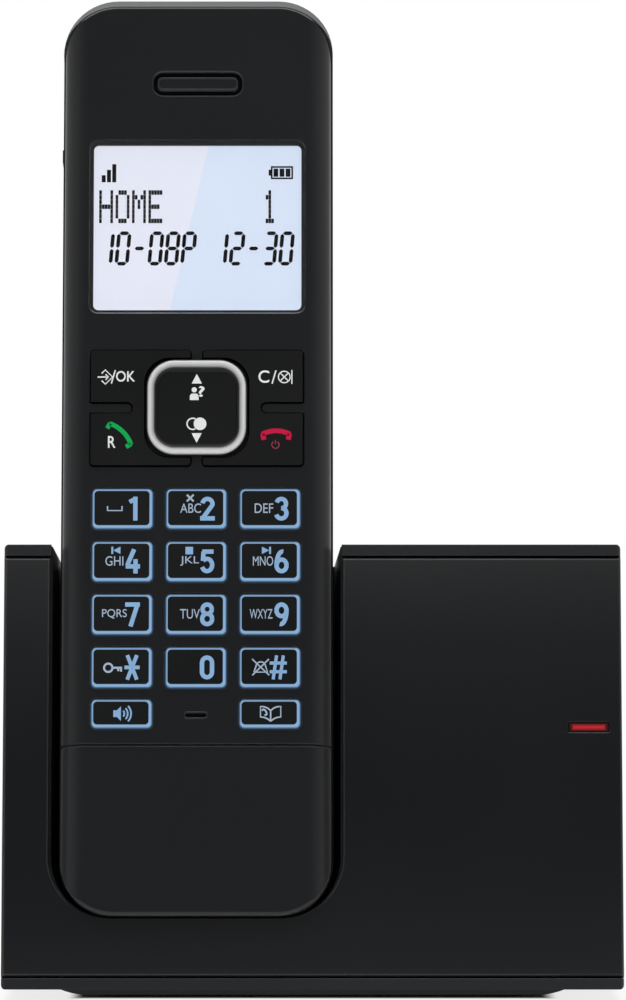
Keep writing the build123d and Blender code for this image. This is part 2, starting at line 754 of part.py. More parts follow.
with BuildPart() as handset_rear_cover:
    add(rear_outer)
    add(rear_hollow, mode=Mode.SUBTRACT)
    add(end_lip.part)
    # battery tray and the door's opening
    block(hand.offset(-(tray_floor - tray_wall)), [(0, cell_row)], tray_size,
          hand_inner - tray_floor + tray_wall)
    block(hand.offset(-tray_floor), [(0, cell_row)], (tray_width, tray_length),
          hand_thickness - tray_floor, mode=Mode.SUBTRACT)
    block(hand.offset(-(hand_thickness - door_thickness)), [(0, cell_row)], tray_size,
          door_thickness, door_corner, Mode.SUBTRACT)
    # screw bosses and posts that clamp the board
    disc(hand.offset(-boss_end), hand_screw_spots, boss_radius, hand_inner - boss_end)
    disc(hand.offset(-boss_end), hand_screw_spots, hand_screw_shank + head_fit,
         hand_screw_seat - boss_end, Mode.SUBTRACT)
    disc(hand.offset(-hand_screw_seat), hand_screw_spots, hand_screw_head + head_fit,
         hand_thickness - hand_screw_seat, Mode.SUBTRACT)
    disc(hand.offset(-board_back), rear_posts, post_radius, hand_inner - board_back)
    # sound slots of the loudspeaker
    block(hand.offset(-hand_inner), sound_spots, (ringer_radius, sound_width), hand_shell,
          sound_corner, Mode.SUBTRACT)
    # charging pads in the lower end
    block(pad_plane, pad_spots, (pad_width, pad_sheet), pad_length, mode=Mode.SUBTRACT)
    # rib on the left side
    block(hand.offset(-hand_split - lug_back), [(-hand_width / 2, lug_row)],
          (2 * lug_proud, lug_height), lug_depth)
save(handset_rear_cover, "handset_rear_cover")

door_grooves = [(0, cell_row + tray_length / 2 - grip_start - step * grip_pitch)
                for step in range(grip_grooves)]
with BuildPart() as battery_door:
    block(hand.offset(-(hand_thickness - door_thickness)), [(0, cell_row)],
          (tray_size[0] - 2 * fit_gap, tray_size[1] - 2 * fit_gap), door_thickness,
          door_corner)
    block(hand.offset(-(hand_thickness - grip_depth)), door_grooves,
          (tray_width / 2, grip_width), grip_depth, mode=Mode.SUBTRACT)
save(battery_door, "battery_door")


def front_form(low, high):
    """A stretch of the front covers' form: rounded outline, with long rounded edges at the sides."""
    deep = hand_split - parting_gap
    with BuildPart() as form:
        block(hand, [(0, front_end / 2)], (front_width, front_end), deep, front_corner)
        outer_face = form.faces().sort_by(Axis(hand.origin, hand.z_dir))[-1]
        chamfer(outer_face.edges(), face_bevel)
        section_plane = Plane(origin=hand.from_local_coords((0, low, 0)), x_dir=(1, 0, 0),
                              z_dir=hand.y_dir)
        with BuildSketch(section_plane) as section:
            with Locations((0, deep / 2)):
                Rectangle(front_width, deep)
            fillet(section.vertices().group_by(Axis.Y)[0], side_round)
        extrude(section.sketch, amount=high - low, mode=Mode.INTERSECT)
    return form.part


def front_hollow():
    """The hollow that both front covers share."""
    with BuildPart() as form:
        block(hand.offset(-hand_face), [(0, front_end / 2)],
              (front_width - 2 * hand_shell, front_end - 2 * hand_shell),
              hand_split - hand_face, front_corner - hand_shell)
    return form.part


front_screw_spots = both_sides(hand_screw_x, hand_screw_rows[1:])
chin_screw_spots = both_sides(hand_screw_x, hand_screw_rows[:1])
front_posts = both_sides(post_x, post_rows[1:])
chin_posts = both_sides(post_x, post_rows[:1])


def board_supports(screws, posts):
    """Screw bosses and board posts on the inside of a front cover."""
    disc(hand.offset(-hand_face), screws, front_boss_radius, boss_end - hand_face)
    disc(hand.offset(-hand_face - boss_cap), screws, hand_screw_shank + screw_fit,
         boss_end - hand_face - boss_cap, Mode.SUBTRACT)
    disc(hand.offset(-hand_face), posts, post_radius, board_depth - hand_face)


# Digit keys in four rows of three, and two smaller keys below them.
digit_names = ("key_1", "key_2", "key_3", "key_4", "key_5", "key_6", "key_7", "key_8", "key_9",
               "key_star", "key_0", "key_hash")
digit_spots = [(column * key_pitch_x, key_row_top - row * key_pitch_y)
               for row in range(4) for column in (-1, 0, 1)]
digit_size = (key_width, key_height)
small_names = ("key_loudspeaker", "key_phone_book")
small_spots = [(-key_pitch_x, small_key_row), (key_pitch_x, small_key_row)]
small_size = (key_width, small_key_height)


def grown(size, extra):
    """A size that is larger by extra on every side."""
    return (size[0] + 2 * extra, size[1] + 2 * extra)


plate_width = plate_outer - plate_inner
plate_x = (plate_outer + plate_inner) / 2
notch_height = tongue_height + 2 * plate_gap
ring_size = (ring_width, ring_height)


def plate_outline(plane, turn, extra):
    """One function plate: notched at its outer side and cut out around the ring."""
    with BuildSketch(plane) as outline:
        with Locations((turn * plate_x, plate_row)):
            RectangleRounded(*grown((plate_width, plate_height), extra), plate_corner + extra)
        with Locations((turn * (tongue_tip - plate_gap + plate_width / 2), plate_row)):
            RectangleRounded(plate_width - 2 * extra, notch_height - 2 * extra,
                             notch_height * full_round - extra, mode=Mode.SUBTRACT)
        with Locations((0, plate_row)):
            RectangleRounded(*grown(ring_size, ring_gap - extra),
                             ring_corner + ring_gap - extra, mode=Mode.SUBTRACT)
    return outline.sketch


nav_size = grown((ring_inner_width, ring_inner_height), -nav_gap)
nav_corner = ring_corner - ring_band
lens_size = grown((window_width, window_height), lens_border)
ear_gap = (ear_height - grille_height) / 2
ear_slots = [(0, ear_row + turn * (grille_height / 2 + ear_gap / 2)) for turn in (-1, 1)]
front_low = chin_height + seam / 2

with BuildPart() as handset_front_cover:
    add(front_form(front_low, hand_length))
    add(front_hollow(), mode=Mode.SUBTRACT)
    board_supports(front_screw_spots, front_posts)
    # keys, function plates and navigation key
    block(hand, digit_spots, grown(digit_size, key_gap), hand_face, key_corner + key_gap,
          Mode.SUBTRACT)
    block(hand, small_spots, grown(small_size, key_gap), hand_face, key_corner + key_gap,
          Mode.SUBTRACT)
    for turn in (-1, 1):
        extrude(plate_outline(hand, turn, plate_gap), amount=-hand_face, mode=Mode.SUBTRACT)
    block(hand, [(0, plate_row)], (ring_inner_width, ring_inner_height), hand_face, nav_corner,
          Mode.SUBTRACT)
    block(hand, [(0, plate_row)], ring_size, ring_seat, ring_corner, Mode.SUBTRACT)
    # display window with a seat for its lens
    block(hand, [(0, window_row)], (window_width, window_height), hand_face, window_corner,
          Mode.SUBTRACT)
    block(hand, [(0, window_row)], grown(lens_size, screw_fit), lens_thickness + screw_fit,
          window_corner + lens_border, Mode.SUBTRACT)
    # earpiece trough with its sound slots, and the microphone slot
    block(hand, [(0, ear_row)], (ear_width, ear_height), ear_depth, ear_corner, Mode.SUBTRACT)
    block(hand, ear_slots, (ear_slot_length, ear_slot_width), hand_face, mode=Mode.SUBTRACT)
    block(hand, [(0, mic_row)], (mic_width, mic_height), hand_face, mic_height * full_round,
          Mode.SUBTRACT)
save(handset_front_cover, "handset_front_cover")

with BuildPart() as handset_chin_cover:
    add(front_form(0, chin_height - seam / 2))
    seam_face = handset_chin_cover.faces().sort_by(Axis(hand.origin, hand.y_dir))[-1]
    chamfer(seam_face.edges().sort_by(Axis(hand.origin, hand.z_dir))[1:], seam_bevel)
    add(front_hollow(), mode=Mode.SUBTRACT)
    board_supports(chin_screw_spots, chin_posts)
save(handset_chin_cover, "handset_chin_cover")

# A flange under the cover keeps each key in.
digit_flange = (key_pitch_x - flange_gap, key_pitch_y - flange_gap)
small_flange = (key_pitch_x - flange_gap, small_key_height + 2 * flange_out)
key_rows = [(name, spot, digit_size, digit_flange)
            for name, spot in zip(digit_names, digit_spots)]
key_rows += [(name, spot, small_size, small_flange)
             for name, spot in zip(small_names, small_spots)]
for name, spot, size, flange_size in key_rows:
    with BuildPart() as key:
        block(hand.offset(key_proud), [spot], size, key_proud + hand_face + key_lift_gap,
              key_corner)
        key_top = key.faces().sort_by(Axis(hand.origin, hand.z_dir))[-1]
        chamfer(key_top.edges(), key_bevel)
        block(hand.offset(-hand_face - key_lift_gap), [spot], flange_size, flange_thickness,
              key_corner + flange_out)
    save(key, name)

flange_depth = hand_face + rocker_lift_gap
for name, turn in (("left_function_key", -1), ("right_function_key", 1)):
    with BuildPart() as function_key:
        extrude(plate_outline(hand.offset(plate_proud), turn, 0),
                amount=-(plate_proud + flange_depth))
        with BuildSketch(hand.offset(-flange_depth)) as flange:
            with Locations((turn * plate_x, plate_row)):
                Rectangle(*grown((plate_width, plate_height), rocker_flange))
            with Locations((0, plate_row)):
                Rectangle(*grown(ring_size, ring_gap), mode=Mode.SUBTRACT)
        extrude(flange.sketch, amount=-rocker_flange_thickness)
    save(function_key, name)

with BuildPart() as nav_ring:
    block(hand.offset(ring_proud), [(0, plate_row)], ring_size, ring_proud + ring_seat,
          ring_corner)
    block(hand.offset(ring_proud), [(0, plate_row)], (ring_inner_width, ring_inner_height),
          ring_proud + ring_seat, nav_corner, Mode.SUBTRACT)
    ring_top = nav_ring.faces().sort_by(Axis(hand.origin, hand.z_dir))[-1]
    fillet(ring_top.edges(), ring_round)
save(nav_ring, "nav_ring")

with BuildPart() as nav_key:
    block(hand.offset(nav_proud), [(0, plate_row)], nav_size, nav_proud + flange_depth,
          nav_corner - nav_gap)
    nav_top = nav_key.faces().sort_by(Axis(hand.origin, hand.z_dir))[-1]
    fillet(nav_top.edges(), nav_proud)
    block(hand.offset(-flange_depth), [(0, plate_row)], grown(nav_size, rocker_flange),
          rocker_flange_thickness, nav_corner)
save(nav_key, "nav_key")

mat_size = (mat_width, mat_high - mat_low)
with BuildPart() as keypad_mat:
    block(hand.offset(-mat_depth), [(0, (mat_low + mat_high) / 2)], mat_size, mat_thickness,
          board_corner)
    disc(hand.offset(-mat_depth), [(0, mic_row)], mic_radius + head_fit, mat_thickness,
         Mode.SUBTRACT)
save(keypad_mat, "keypad_mat")

with BuildPart() as display_lens:
    block(hand, [(0, window_row)], lens_size, lens_thickness, window_corner + lens_border)
save(display_lens, "display_lens")

lcd_size = grown((window_width, window_height), lcd_border)
with BuildPart() as display_panel:
    block(hand.offset(-hand_face), [(0, window_row)], lcd_size, lcd_thickness)
save(display_panel, "display_panel")

frame_depth = hand_face + lcd_thickness
with BuildPart() as display_backlight:
    block(hand.offset(-frame_depth), [(0, window_row)], grown(lcd_size, backlight_rim),
          board_depth - frame_depth, backlight_rim)
save(display_backlight, "display_backlight")

with BuildPart() as earpiece_grille:
    block(hand.offset(-screw_fit), [(0, ear_row)], (grille_width, grille_height),
          ear_depth - screw_fit, grille_corner)
save(earpiece_grille, "earpiece_grille")

with BuildPart() as earpiece_speaker:
    disc(hand.offset(-hand_face), [(0, ear_row)], earpiece_radius,
         board_depth - hand_face - parting_gap)
    disc(hand.offset(-hand_face), [(0, ear_row)], earpiece_radius - earpiece_rim,
         earpiece_cone, Mode.SUBTRACT)
save(earpiece_speaker, "earpiece_speaker")

with BuildPart() as microphone:
    disc(hand.offset(-hand_face - head_fit), [(0, mic_row)], mic_radius,
         board_depth - hand_face - head_fit)
save(microphone, "microphone")

with BuildPart() as handset_board:
    block(hand.offset(-board_depth), [(0, (board_low + board_high) / 2)],
          (board_width, board_high - board_low), board_thickness, board_corner)
save(handset_board, "handset_board")

with BuildPart() as handset_radio_can:
    block(hand.offset(-board_back), [(0, shield_row)], (shield_width, shield_height),
          shield_depth, shield_corner)
    block(hand.offset(-board_back), [(0, shield_row)],
          grown((shield_width, shield_height), -shield_sheet), shield_depth - shield_sheet,
          shield_corner - shield_sheet, Mode.SUBTRACT)
save(handset_radio_can, "handset_radio_can")

with BuildPart() as handset_aerial:
    block(hand.offset(-board_back), [(0, antenna_row)], (antenna_width, antenna_sheet),
          antenna_height)
save(handset_aerial, "handset_aerial")

with BuildPart() as loudspeaker:
    disc(hand.offset(-hand_inner + ringer_thickness), [(0, ringer_row)], ringer_radius,
         ringer_thickness)
    disc(hand.offset(-hand_inner + ringer_thickness / 2), [(0, ringer_row)],
         ringer_radius - ringer_rim, ringer_thickness / 2, Mode.SUBTRACT)
save(loudspeaker, "loudspeaker")

with BuildPart() as handset_screws:
    disc(hand.offset(-hand_screw_seat), hand_screw_spots, hand_screw_head,
         hand_screw_head_height)
    tip_depth = hand_face + boss_cap + screw_tip_gap
    disc(hand.offset(-tip_depth), hand_screw_spots, hand_screw_shank,
         hand_screw_seat - tip_depth)
save(handset_screws, "handset_screws")

with BuildPart() as handset_charge_pads:
    block(pad_plane, pad_spots, (pad_width, pad_sheet), pad_length)
save(handset_charge_pads, "handset_charge_pads")

# Two cells side by side, end for end, with a contact plate at each end.
cell_low = cell_row - cell_length / 2
lower_end = Plane(origin=hand.from_local_coords((0, cell_low, -cell_depth)), x_dir=(1, 0, 0),
                  z_dir=hand.y_dir)
for name, turn in (("battery_cell_left", -1), ("battery_cell_right", 1)):
    with BuildPart() as battery_cell:
        body_start = cell_nub if turn > 0 else 0
        disc(lower_end.offset(body_start + cell_length - cell_nub), [(turn * cell_spread, 0)],
             cell_radius, cell_length - cell_nub)
        disc(lower_end.offset(cell_length), [(turn * cell_spread, 0)], cell_nub_radius,
             cell_length)
    save(battery_cell, name)

# Upper faces of the contact plates and of their springs, above the cells' lower end.
contact_size = (2 * (cell_nub_radius + contact_margin), 2 * (cell_radius - contact_margin))
contact_spots = [(-cell_spread, 0), (cell_spread, 0)]
spring_length = contact_room - contact_sheet - screw_fit
contact_ends = [(contact_sheet - contact_room, -screw_fit),
                (cell_length + contact_room, cell_length + contact_room - contact_sheet)]
with BuildPart() as battery_contacts:
    for sheet_top, spring_top in contact_ends:
        block(lower_end.offset(sheet_top), contact_spots, contact_size, contact_sheet)
        disc(lower_end.offset(spring_top), contact_spots, cell_nub_radius, spring_length)
save(battery_contacts, "battery_contacts")
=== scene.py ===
from math import asin, copysign, cos, degrees, pi, radians, sin, tan

import bmesh
import bpy
from mathutils import Matrix, Vector
from mathutils.geometry import tessellate_polygon


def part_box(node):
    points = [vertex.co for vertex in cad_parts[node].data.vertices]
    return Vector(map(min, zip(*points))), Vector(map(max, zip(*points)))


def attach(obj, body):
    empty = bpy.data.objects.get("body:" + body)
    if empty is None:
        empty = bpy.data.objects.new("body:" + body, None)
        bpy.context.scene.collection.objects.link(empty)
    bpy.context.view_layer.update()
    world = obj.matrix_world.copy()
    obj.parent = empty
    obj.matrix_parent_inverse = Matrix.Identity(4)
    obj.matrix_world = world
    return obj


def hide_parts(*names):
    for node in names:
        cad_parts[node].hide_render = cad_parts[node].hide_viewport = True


# A cordless telephone in its leaning charging base. Sizes are in millimetres, in the leaning plane
# of the handset's face or of the base's front; MM turns them into the frame's metres.

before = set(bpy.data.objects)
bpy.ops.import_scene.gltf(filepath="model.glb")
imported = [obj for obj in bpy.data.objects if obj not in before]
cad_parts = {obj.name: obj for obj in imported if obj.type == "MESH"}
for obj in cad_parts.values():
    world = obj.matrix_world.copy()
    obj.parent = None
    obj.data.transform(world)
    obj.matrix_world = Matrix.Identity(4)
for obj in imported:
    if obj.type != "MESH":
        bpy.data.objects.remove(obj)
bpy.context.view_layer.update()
scene = bpy.context.scene

MM = 0.001
LEAN = radians(12.0)  # of the base's front and of the handset
INK = 0.04  # thickness of a printed or etched mark
SMOOTH_ANGLE = radians(32.0)


# ---- planes and places

def leaning_plane(x, y, z):
    """Millimetres across, up and out of a face that leans back, as places in the frame."""
    turn = Matrix(((1, 0, 0, 0), (0, sin(LEAN), -cos(LEAN), 0), (0, cos(LEAN), sin(LEAN), 0),
                   (0, 0, 0, 1)))
    return turn @ Matrix.Scale(MM, 4) @ Matrix.Translation((x, y, z))


def limits(points):
    """The lowest and highest corners of a box round points."""
    rows = list(zip(*points))
    return Vector([min(r) for r in rows]), Vector([max(r) for r in rows])


def span(node, plane, above=None):
    """A node's lowest and highest corners in a plane, or those of its part above a height."""
    back = plane.inverted()
    points = [back @ v.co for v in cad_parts[node].data.vertices]
    return limits([p for p in points if above is None or p.z > above])


slope = leaning_plane(0, 0, 0)
shell_low, shell_high = span("handset_rear_cover", slope)
front_low, front_high = span("handset_front_cover", slope)
panel_low, panel_high = span("base_front_panel", slope)
HAND = leaning_plane((front_low.x + front_high.x) / 2, shell_low.y, front_high.z)


def middle(node, plane):
    low, high = span(node, plane)
    return (low + high) / 2


# ---- meshes

def joined(parts):
    """One mesh of several, each moved by its own matrix."""
    total = bmesh.new()
    for mesh, move in parts:
        copy = mesh.copy()
        copy.transform(move)
        total.from_mesh(copy)
        bpy.data.meshes.remove(copy)
    mesh = bpy.data.meshes.new("joined")
    total.to_mesh(mesh)
    total.free()
    return mesh


def at(x, y, z=0.0, turn=0.0):
    return Matrix.Translation((x, y, z)) @ Matrix.Rotation(turn, 4, "Z")


def prism(outlines, low, high):
    """A closed solid between two heights: the first outline, less the others."""
    flat = [[Vector((x, y, 0)) for x, y in outline] for outline in outlines]
    corners = [p for outline in flat for p in outline]
    bm = bmesh.new()
    levels = [[bm.verts.new((p.x, p.y, z)) for p in corners] for z in (low, high)]
    for a, b, c in tessellate_polygon(flat):
        for level in levels:
            bm.faces.new((level[a], level[b], level[c]))
    start = 0
    for outline in flat:
        count = len(outline)
        for i in range(count):
            a, b = start + i, start + (i + 1) % count
            bm.faces.new((levels[0][a], levels[0][b], levels[1][b], levels[1][a]))
        start += count
    bmesh.ops.recalc_face_normals(bm, faces=bm.faces)
    mesh = bpy.data.meshes.new("prism")
    bm.to_mesh(mesh)
    bm.free()
    return mesh


def arc(x, y, radius, start, end, steps=12):
    """Points along an arc, its angles in degrees."""
    angles = [radians(start + (end - start) * i / steps) for i in range(steps + 1)]
    return [(x + radius * cos(a), y + radius * sin(a)) for a in angles]


def rectangle(width, height, x=0.0, y=0.0):
    corners = ((-1, -1), (1, -1), (1, 1), (-1, 1))
    return [(x + a * width / 2, y + b * height / 2) for a, b in corners]


def piece(name, mesh, body, material):
    """A finished piece: its mesh in the handset's face, smooth between sharp edges, on its body."""
    mesh.transform(HAND)
    bm = bmesh.new()
    bm.from_mesh(mesh)
    for face in bm.faces:
        face.smooth = len(face.verts) <= 4
    for edge in bm.edges:
        edge.smooth = edge.calc_face_angle(pi) < SMOOTH_ANGLE
    bm.to_mesh(mesh)
    bm.free()
    mesh.name = name
    mesh.materials.clear()
    mesh.materials.append(material)
    obj = bpy.data.objects.new(name, mesh)
    scene.collection.objects.link(obj)
    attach(obj, body)
    return obj


# ---- node trees

def add(tree, kind, values=None, **settings):
    """Adds a node: settings are its properties, values its sockets' values or what feeds them."""
    made = tree.nodes.new(kind)
    for name, value in settings.items():
        setattr(made, name, value)
    for name, value in (values or {}).items():
        if isinstance(value, bpy.types.NodeSocket):
            tree.links.new(value, made.inputs[name])
        else:
            made.inputs[name].default_value = value
    return made


def put(tree, kind, values=None, **settings):
    """Adds a node and returns its first output."""
    return add(tree, kind, values, **settings).outputs[0]


def new_tree(name, *numbers, seeded=True):
    """A Geometry Nodes tree with named number inputs, a material's and, if seeded, a mesh's."""
    tree = bpy.data.node_groups.new(name, "GeometryNodeTree")
    kinds = {"Geometry": "Geometry"} if seeded else {}
    kinds |= dict.fromkeys(numbers, "Float") | {"Material": "Material"}
    for label, kind in kinds.items():
        tree.interface.new_socket(name=label, in_out="INPUT", socket_type="NodeSocket" + kind)
    tree.interface.new_socket(name="Geometry", in_out="OUTPUT", socket_type="NodeSocketGeometry")
    return tree, add(tree, "NodeGroupInput").outputs


def close_tree(tree, geometry, material):
    """Ends a tree: plain geometry with its material set."""
    plain = put(tree, "GeometryNodeRealizeInstances", {"Geometry": geometry})
    done = put(tree, "GeometryNodeSetMaterial", {"Geometry": plain, "Material": material})
    add(tree, "NodeGroupOutput", {0: done})


def sums(tree, first, second, operation="SUBTRACT"):
    return put(tree, "ShaderNodeMath", {0: first, 1: second}, operation=operation)


def vector_sums(tree, first, second, operation="SUBTRACT"):
    """The outputs of a sum of one vector or two: 0 is a vector, Value a number."""
    values = {0: first} if second is None else {0: first, 1: second}
    return add(tree, "ShaderNodeVectorMath", values, operation=operation).outputs


def vector(tree, **parts):
    return put(tree, "ShaderNodeCombineXYZ", parts)


CORNER_STEPS = 9
BEND_STEPS = 6
BLOCK_WELD = 0.03  # distance under which the parts of a mesh join
RING_WELD = 0.001


def sweep(tree, path, section, caps=False):
    return put(tree, "GeometryNodeCurveToMesh", {
        "Curve": path, "Profile Curve": section, "Fill Caps": caps})


def weld(tree, geometry, distance):
    return put(tree, "GeometryNodeMergeByDistance", {"Geometry": geometry, "Distance": distance})


def round_rectangle(tree, width, height, corner):
    """A closed path with round corners."""
    path = put(tree, "GeometryNodeCurvePrimitiveQuadrilateral",
               {"Width": width, "Height": height})
    round_off = {"Curve": path, "Radius": corner, "Count": CORNER_STEPS}
    return put(tree, "GeometryNodeFilletCurve", round_off, mode="POLY")


def block_tree():
    """A block with round corners and a rounded upper edge, its top at zero height."""
    tree, given = new_tree("rounded_block", "Width", "Height", "Corner", "Depth", "Edge",
                           seeded=False)
    wall_path = round_rectangle(tree, given["Width"], given["Height"], given["Corner"])
    twice = sums(tree, given["Edge"], 2.0, "MULTIPLY")
    top_path = round_rectangle(tree, sums(tree, given["Width"], twice),
                               sums(tree, given["Height"], twice),
                               sums(tree, given["Corner"], given["Edge"]))
    # The wall's section: x is outwards, y is downwards.
    foot, knee = vector(tree, Y=given["Depth"]), vector(tree, Y=given["Edge"])
    wall = put(tree, "GeometryNodeCurvePrimitiveLine", {"Start": foot, "End": knee})
    bend = put(tree, "GeometryNodeCurveArc", {
        "Resolution": BEND_STEPS, "Radius": given["Edge"], "Start Angle": 0.0,
        "Sweep Angle": -pi / 2})
    shift = vector(tree, X=sums(tree, given["Edge"], -1.0, "MULTIPLY"), Y=given["Edge"])
    bend = put(tree, "GeometryNodeTransform", {"Geometry": bend, "Translation": shift})
    join = add(tree, "GeometryNodeJoinGeometry")
    for section in (wall, bend):
        swept = sweep(tree, wall_path, section)
        tree.links.new(swept, join.inputs[0])
    top = put(tree, "GeometryNodeFillCurve", {"Curve": top_path}, mode="NGONS")
    tree.links.new(top, join.inputs[0])
    floor = put(tree, "GeometryNodeFillCurve", {"Curve": wall_path}, mode="NGONS")
    drop = vector(tree, Z=sums(tree, given["Depth"], -1.0, "MULTIPLY"))
    floor = put(tree, "GeometryNodeTransform", {"Geometry": floor, "Translation": drop})
    tree.links.new(floor, join.inputs[0])
    close_tree(tree, weld(tree, join.outputs[0], BLOCK_WELD), given["Material"])
    return tree


def ring_tree():
    """A band along a rectangle with round corners; its section is the line that it is given."""
    tree, given = new_tree("swept_ring", "Width", "Height", "Corner")
    path = round_rectangle(tree, given["Width"], given["Height"], given["Corner"])
    section = put(tree, "GeometryNodeMeshToCurve", {"Mesh": given["Geometry"]})
    swept = sweep(tree, path, section)
    close_tree(tree, weld(tree, swept, RING_WELD), given["Material"])
    return tree


def stroke_tree():
    """Flat strokes of one width along the edges of the mesh that it is given."""
    tree, given = new_tree("strokes", "Width", "Thickness")
    path = put(tree, "GeometryNodeMeshToCurve", {"Mesh": given["Geometry"]})
    path = put(tree, "GeometryNodeSetCurveNormal", {"Curve": path}, mode="Z_UP")
    section = put(tree, "GeometryNodeCurvePrimitiveQuadrilateral", {
        "Width": given["Width"], "Height": given["Thickness"]})
    close_tree(tree, sweep(tree, path, section, True), given["Material"])
    return tree


def repeat_tree():
    """One small block on every point of the mesh that it is given."""
    tree, given = new_tree("repeated_blocks", "Width", "Height", "Thickness")
    size = vector(tree, X=given["Width"], Y=given["Height"], Z=given["Thickness"])
    one = put(tree, "GeometryNodeMeshCube", {"Size": size})
    many = put(tree, "GeometryNodeInstanceOnPoints", {
        "Points": given["Geometry"], "Instance": one})
    close_tree(tree, many, given["Material"])
    return tree


def taken(holder):
    """The finished mesh of an object, which is deleted with its modifiers."""
    scene.collection.objects.link(holder)
    made = holder.evaluated_get(bpy.context.evaluated_depsgraph_get())
    mesh = bpy.data.meshes.new_from_object(made)
    holder.modifiers.clear()
    bpy.data.objects.remove(holder)
    return mesh


def grow(tree, values, lines=()):
    """Runs a tree on the given polylines and returns the result as a plain mesh."""
    seed = bpy.data.meshes.new("seed")
    points, edges = [], []
    for line in lines:
        first = len(points)
        points += [(*p, 0.0) for p in line]
        edges += [(i, i + 1) for i in range(first, len(points) - 1)]
    seed.from_pydata(points, edges, [])
    holder = bpy.data.objects.new("seed", seed)
    build = holder.modifiers.new("build", "NODES")
    build.node_group = tree
    for item in tree.interface.items_tree:
        if item.in_out == "INPUT" and item.name in values:
            build[item.identifier] = values[item.name]
    mesh = taken(holder)
    bpy.data.meshes.remove(seed)
    bm = bmesh.new()
    bm.from_mesh(mesh)
    bmesh.ops.recalc_face_normals(bm, faces=bm.faces)
    bm.to_mesh(mesh)
    bm.free()
    return mesh


# ---- finishes

SOFT_TOUCH = 0.14  # pale sheen of the handset's front at its turned sides
SIDE_TURN = (0.12, 0.55)  # how far a side turns away while its gloss goes
SIDE_GLOSS = 0.08  # what is left of it
FACE_GLOSS = 0.5
PANEL_MIDDLE = 0.3  # the crown's level line, as a share of the panel's height
PANEL_CROWN = 2.2  # curvature of the crown, per metre
TONE_SIZE = 45.0  # size of the slow changes of tone over a moulding
SHADE_REACH = (0.0, 0.29)  # depths below the ring's crest over which painted shade darkens the silver
GLOW_CORE = (2.6, 0.12)  # half size of the status light's bright core
GLOW_EDGE = 0.5  # over which it turns dark
GLARE_SLANT = 0.226  # slant of the painted glare reflection's edge on the display: sideways per unit of height
GLARE_AT = -1.5  # where the painted glare ends, at mid height
GLARE_EDGE = 0.1
SLEEVE_BAND = (9.2, 9.0)  # lower edge of a cell's pale band below its top


def tint(code):
    """An sRGB hex colour as linear red, green, blue and alpha."""
    parts = [int(code[i:i + 2], 16) / 255 for i in (1, 3, 5)]
    return (*[p / 12.92 if p <= 0.04045 else ((p + 0.055) / 1.055) ** 2.4 for p in parts], 1.0)


def finish(name, **sockets):
    """A material with a Principled shader whose constant sockets are set: numbers or codes."""
    material = bpy.data.materials.new(name)
    material.use_nodes = True
    tree = material.node_tree
    shader = tree.nodes["Principled BSDF"]
    for label, value in sockets.items():
        value = tint(value) if isinstance(value, str) else value
        shader.inputs[label.replace("_", " ")].default_value = value
    return material, tree, shader


def cloud(tree, size, detail=2.0):
    """Noise with spots of a size in millimetres."""
    place = add(tree, "ShaderNodeTexCoord").outputs["Object"]
    noise = {"Vector": place, "Scale": 1 / (size * MM), "Detail": detail}
    return add(tree, "ShaderNodeTexNoise", noise).outputs["Fac"]


def colour_between(tree, socket, share, first, second):
    """Gives a socket the first colour, and by the share the second: hex codes or sockets."""
    mix = add(tree, "ShaderNodeMix", {"Factor": share}, data_type="RGBA")
    for index, colour in ((6, first), (7, second)):
        if isinstance(colour, str):
            mix.inputs[index].default_value = tint(colour)
        else:
            tree.links.new(colour, mix.inputs[index])
    tree.links.new(mix.outputs[2], socket)


def grain(tree, shader, size, relief, detail=3.0, soft_edge=None):
    """The fine texture of a surface: grains of a size, raised by a height, in millimetres."""
    noise = cloud(tree, size, detail)
    values = {"Height": noise, "Distance": relief * MM, "Strength": 1.0}
    if soft_edge:
        round_off = put(tree, "ShaderNodeBevel", {"Radius": soft_edge * MM}, samples=4)
        values["Normal"] = round_off
    bump = put(tree, "ShaderNodeBump", values)
    tree.links.new(bump, shader.inputs["Normal"])
    return noise


def face_place(tree):
    """Object coordinates turned into a leaning face: x across, y up the face, z out of it."""
    place = add(tree, "ShaderNodeTexCoord").outputs["Object"]
    turned = put(tree, "ShaderNodeMapping", {"Vector": place, "Rotation": (LEAN - pi / 2, 0, 0)})
    return add(tree, "ShaderNodeSeparateXYZ", {"Vector": turned}).outputs


def in_face(point):
    """The same turn for a point of the frame."""
    return Matrix.Rotation(LEAN - pi / 2, 4, "X") @ point


def ramp(tree, value, start, end, low, high, smooth=False):
    """A value that goes from low to high while another goes from start to end."""
    return put(tree, "ShaderNodeMapRange", {
        "Value": value, "From Min": start, "From Max": end, "To Min": low, "To Max": high},
        interpolation_type="SMOOTHSTEP" if smooth else "LINEAR")


def worn(tree, shader, noise, low, high):
    """Roughness that drifts between two values with a noise."""
    tree.links.new(ramp(tree, noise, 0.3, 0.7, low, high), shader.inputs["Roughness"])


def moulded(name, dark, light, rough_low, rough_high, size, relief, soft_edge=None, **sockets):
    """A moulded plastic or rubber: tone, gloss and grain."""
    material, tree, shader = finish(name, **sockets)
    slow = cloud(tree, TONE_SIZE)
    colour_between(tree, shader.inputs["Base Color"], slow, dark, light)
    worn(tree, shader, slow, rough_low, rough_high)
    grain(tree, shader, size, relief, soft_edge=soft_edge)
    return material


def matt_sides(material):
    """Less gloss where the surface turns away, as on a soft-touch moulding."""
    tree = material.node_tree
    turned = add(tree, "ShaderNodeLayerWeight", {"Blend": 0.5}).outputs["Facing"]
    level = ramp(tree, turned, *SIDE_TURN, FACE_GLOSS, SIDE_GLOSS)
    tree.links.new(level, tree.nodes["Principled BSDF"].inputs["Specular IOR Level"])
    return material


